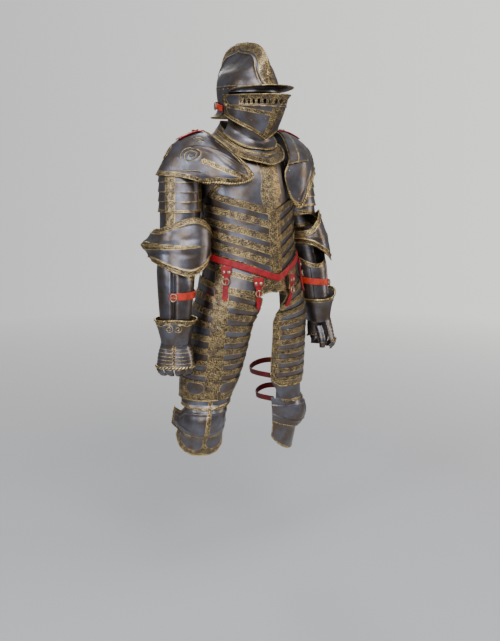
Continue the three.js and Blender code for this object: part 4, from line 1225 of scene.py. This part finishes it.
def makeSkull():
    low = np.array([1584, 1590, 1596, 1602, 1610, 1618, 1626, 1636, 1646, 1656, 1666])
    heights = np.concatenate([low, np.linspace(1666, 1830, 78)[1:], [1834, 1837, 1839, 1841, 1842.4, 1843]])
    angle, z = net(np.linspace(-math.pi, math.pi, 289)[:-1], heights)
    points = skullPoint(angle, z)
    # the last ring closes on the middle line, which makes the crest of the comb
    last = section(skullRows, angle[:, -1:], z[:, -1:], 2.1)
    last[..., 0] = 0
    last[..., 2] += 0.6
    points = np.concatenate([points, onHead(last)], 1)
    z = np.concatenate([z, z[:, -1:] + 0.6], 1)
    angle = np.concatenate([angle, angle[:, -1:]], 1)
    front, back = 144, 0
    crest = np.concatenate([points[front, 34:], points[back, 42:][::-1]])
    away = np.full(z.shape, 999.0)
    for p in crest[::2]:
        away = np.minimum(away, np.linalg.norm(points - p, axis=-1))
    high = z > skull["combFrom"]
    lift = np.where(high, 3.2 * np.exp(-((away - skull["combLine"]) / 3.6) ** 2), 0)
    lift = lift + 1.4 * np.exp(-((z - 1686) / 2.5) ** 2)
    shaped = raised(points, lift * (z < 1838), True)
    # open in front, where the face guard laps over its edges
    turn, height = abs(angle[:, :len(heights)] + 0.01), z[:, :len(heights)]
    cut = (turn < np.where(height < skull["earFoot"], skull["nape"], 86) * degree) & (height < 1665)
    gilt = np.where(high, np.maximum(skull["combBand"] - away, 1.6 - abs(away - skull["combLine"])), notGilt)
    gilt = np.maximum(gilt, np.where(z < skull["footBand"], skull["footBand"] - z, notGilt))
    gilt = np.maximum(gilt, 1.5 - abs(z - skull["browLine"]))
    plate("helmet_skull_plate", shaped, "helmet_skull", wall=2.2, closed=True, cut=cut, gilt=gilt)
    # the roped comb, from above the brow over the crest and down to the nape
    comb = np.concatenate([points[front, 38:], points[back, 30:][::-1]])
    out = normals(points, True)
    side = np.concatenate([out[front, 38:], out[back, 30:][::-1]])
    roped("helmet_comb_rope", comb - side * 0.8, side, 3.3, 8)
    row = len(low) + 5
    spots = [(int(k) % 288, row) for k in np.linspace(4, 284, 25)]
    studs("helmet_rivets", [points[k] + out[k] * 0.4 for k in spots], [out[k] for k in spots], radius=2.3)
    edge = [k for k in range(288) if abs(angle[k, 0]) >= skull["nape"] * degree]
    order = sorted(edge, key=lambda k: angle[k, 0] % (2 * math.pi))
    roped("helmet_nape_rope", points[order, 0], out[order, 0], 3.2, 8)


def makePeak():
    angle, v = net(np.linspace(-peak["spread"], peak["spread"], 121) * degree, np.linspace(0, 1, 26))
    points = section(skullRows, angle, peak["height"] + 0 * v, 2.1)
    flat = points * [1, 1, 0]
    flat = flat / np.linalg.norm(flat, axis=-1, keepdims=True)
    reach = peak["reach"] * np.maximum(0.05, 1 - (angle / (peak["spread"] * degree)) ** 2) ** 0.8
    points = points + flat * (0.8 + v * reach)[..., None]
    points[..., 2] = (peak["height"] - peak["drop"] * v + peak["tilt"] * np.cos(angle) * v
                      + 3.0 * ease((v - 0.8) * 5))
    points = onHead(points)
    points = raised(points, 2 + 0 * v, up=(0, 0, 1))
    plate("helmet_peak_plate", points, "helmet_peak", wall=2.2, up=(0, 0, 1), gilt=bands(points, bottom=3))
    edgeRope("helmet_peak_rope", points, "bottom", 2.0, 6.5, up=(0, 0, 1))


def faceFoot(angle):
    return face["foot"] + face["rise"] * (abs(angle) / (face["reach"] * degree)) ** 1.1


def facePoint(angle, z):
    return onHead(section(faceRows, angle, z))


def makeFace():
    reach = face["reach"] * degree
    us = np.linspace(-1, 1, 249)
    rows = np.concatenate([np.linspace(face["top"], face["slotHigh"], 12),
                           np.linspace(face["slotHigh"], face["slotLow"], 9)[1:]])
    share = np.linspace(0, 1, 50)[1:]
    angle = us * reach
    z = np.concatenate([np.repeat(rows[None], len(us), 0),
                        mix(face["slotLow"], faceFoot(angle)[:, None], share[None])], 1)
    angle = np.repeat(angle[:, None], z.shape[1], 1)
    points = facePoint(angle, z)
    points = raised(points, 2 + 1.5 * np.exp(-((z - face["slotLow"] + 4) / 2.2) ** 2))
    across = lengths(points)[0]
    centres = np.linspace(-face["slotReach"], face["slotReach"], face["slots"])
    middles = (angle[:-1, :-1] + angle[1:, :-1]) / 2 / degree
    near = np.min(abs(middles[..., None] - centres), -1) < 1.45
    cut = near & (z[:-1, :-1] <= face["slotHigh"] - 0.5) & (z[:-1, :-1] > face["slotLow"] + 0.5)
    gilt = bands(points, bottom=face["border"], side=14)
    keel = mix(face["keelBand"], 15, np.clip((1620 - z) / 100, 0, 1)) - abs(across)
    gilt = np.maximum(gilt, np.where(z < 1612, keel, notGilt))
    flange = 58 - abs(angle) / degree  # the etched band that holds the sights
    gilt = np.maximum(gilt, np.minimum(z - face["slotLow"] + 1, flange))
    slope = 1588 + abs(angle) / degree * 0.38
    gilt = np.maximum(gilt, 6.5 - abs(z - slope))
    # the scalloped border behind, round the stud that holds the plate to the skull
    scallop = 21 + 5 * np.cos(z / 5.5)
    gilt = np.maximum(gilt, scallop - np.minimum(across - across[:1], across[-1:] - across))
    plate("face_guard_plate", points, "face_plate", cut=cut, gilt=gilt)
    edgeRope("face_guard_top_rope", points, "top", 2.3, 7)
    edgeRope("face_guard_foot_rope", points, "bottom", 2.2, 7)
    ledge = points[:, 22]
    roped("face_guard_ledge", ledge[30:219], normals(points)[30:219, 22], 2.2, 6)
    places = atPlaces(points, [(0.03, 0.3), (0.97, 0.3), (0.24, 0.48), (0.76, 0.48), (0.3, 0.72), (0.7, 0.72),
                               (0.42, 0.6), (0.58, 0.6)])
    studs("face_guard_studs", places[0][:2], places[1][:2], radius=6.0, height=0.5)
    studs("face_guard_rivets", places[0][2:], places[1][2:], radius=2.3)


def makeThroat():
    angle, v = net(np.linspace(-96, 96, 141) * degree, np.linspace(0, 1, 30))
    high = facePoint(angle, faceFoot(angle) + 12)
    high = high - normals(high + np.stack([0 * v, 0 * v, -60 * v], -1)) * 4.5
    upper, upperRadius = collarAt(angle)[:2]
    foot = roundNeck(angle, upperRadius + 10, upper - 5)
    points = mix(high, foot, v[..., None])
    inward = points * [1, 1, 0] - [0, neckBack, 0]
    inward = inward / np.linalg.norm(inward, axis=-1, keepdims=True)
    points = points - inward * (18 * np.sin(v * math.pi))[..., None]
    points = raised(points, 2 + 0 * v)
    stepped = raised(points, 1.6 * (1 - ease((v - 0.5) * 30)) * v)
    plate("throat_lames", stepped, "throat_plate", gilt=bands(stepped, bottom=6))
    edgeRope("throat_rope", stepped, "bottom", 2.5, 7.5)


napeStrap = {"from": 103, "to": 257, "height": 1612, "arch": 22, "half": 11}


def makeNapeStrap():
    u, v = shares(91, 6, 0)
    arch = np.sin(math.pi * u)
    angle = mix(napeStrap["from"], napeStrap["to"], u) * degree
    z = napeStrap["height"] + napeStrap["arch"] * arch + napeStrap["half"] * (1 - 2 * v)
    points = raised(skullPoint(angle, z), 7 + 8 * arch)
    strap("nape_strap_leather", points, orangeRed, "nape_strap")
    out = normals(points)
    for k, at in enumerate((14, 76)):
        makeBuckle(f"nape_buckle_{k + 1}", points[at, 3] + out[at, 3] * 1.5, np.array([0, 0, 1.0]),
                   out[at, 3])


makeCollar()
makeSkull()
makePeak()
makeFace()
makeThroat()
makeNapeStrap()
print("helmet made")


# camera, floor and light

shot = {"azimuth": -36, "distance": 2800, "height": 1470, "lens": 44.27, "pitch": 5.1, "shift": -0.1568}


def makeCamera():
    data = bpy.data.cameras.new("camera")
    camera = bpy.data.objects.new("camera", data)
    bpy.context.scene.collection.objects.link(camera)
    turn = shot["azimuth"] * degree
    camera.location = (math.sin(turn) * shot["distance"] / 1000, -math.cos(turn) * shot["distance"] / 1000,
                       (shot["height"] - shoulderHeight) / 1000)
    camera.rotation_euler = (math.pi / 2 - shot["pitch"] * degree, 0, turn)
    data.lens = shot["lens"]
    data.shift_y = shot["shift"]
    bpy.context.scene.camera = camera


softLights = (("key_softbox", (-0.5, -3.1, 2.2), (2.4, 1.6), 104, "#eef3ff", (0, 0, -0.3)),
              ("front_fill", (-2.5, -2.6, 0.5), (1.8, 2.4), 56, "#f2f5ff", (0, 0, -0.3)),
              ("left_strip", (-3.1, -0.4, 0.8), (0.5, 2.0), 30, "#e9f0ff", (0, 0, -0.4)),
              ("right_strip", (2.6, -1.6, 0.2), (0.5, 2.2), 26, "#fff4e6", (0, 0, -0.4)),
              ("back_softbox", (1.5, 2.8, 1.8), (1.6, 1.6), 60, "#ffffff", (0, 0, -0.2)),
              ("top_softbox", (0.0, -0.6, 2.8), (2.0, 1.6), 42, "#f6f8ff", (0, 0, 0)))


def makeLight(name, place, size, power, tint, target):
    data = bpy.data.lights.new(name, "AREA")
    data.shape, data.size, data.size_y = "RECTANGLE", size[0], size[1]
    data.energy, data.color = power, colour(tint)[:3]
    lamp = bpy.data.objects.new(name, data)
    bpy.context.scene.collection.objects.link(lamp)
    lamp.location = place
    lamp.rotation_euler = (Vector(target) - Vector(place)).to_track_quat("-Z", "Y").to_euler()


def makeStage():
    bpy.ops.object.select_all(action="DESELECT")
    bpy.ops.mesh.primitive_plane_add(size=24, location=(0, 0, -shoulderHeight / 1000))
    floor = bpy.context.object
    floor.name = "studio_floor"
    material, shader = newMaterial("matt studio floor")  # pale paint that fades into the backdrop further out
    shader.inputs["Base Color"].default_value = colour("#b5b5b4")
    shader.inputs["Roughness"].default_value = 0.85
    place = addNode(material, "TexCoord").outputs["Object"]
    reach = addNode(material, "VectorMath", {"operation": "LENGTH"}, i0=place).outputs["Value"]
    clear = addNode(material, "BsdfTransparent")
    both = addNode(material, "MixShader", Fac=ranged(material, reach, 1.2, 4.5))
    links = material.node_tree.links
    links.new(shader.outputs[0], both.inputs[1])
    links.new(clear.outputs[0], both.inputs[2])
    links.new(both.outputs[0], material.node_tree.nodes["Material Output"].inputs["Surface"])
    floor.data.materials.append(material)
    world = bpy.data.worlds.new("studio")
    bpy.context.scene.world = world
    world.use_nodes = True
    # a pale backdrop with painted light, brighter on one side, in a dim room that the steel mirrors
    way = addNode(world, "TexCoord").outputs["Generated"]
    aside = addNode(world, "VectorMath", {"operation": "DOT_PRODUCT", 1: (0.87, -0.38, 0.0)}, i0=way)
    backdrop = blended(world, ranged(world, aside.outputs["Value"], -0.2, 0.6), colour("#b6b5b6"),
                       colour("#efeeea"))
    above = addNode(world, "SeparateXYZ", i0=way).outputs[2]
    room = blended(world, ranged(world, above, -0.5, 0.9), colour("#504d4b"), colour("#96989c"))
    seen = addNode(world, "LightPath").outputs["Is Camera Ray"]
    back = world.node_tree.nodes["Background"]
    world.node_tree.links.new(blended(world, seen, room, backdrop), back.inputs["Color"])
    back.inputs["Strength"].default_value = 1.5
    for light in softLights:
        makeLight(*light)


makeCamera()
makeStage()
print("camera, floor and light made")
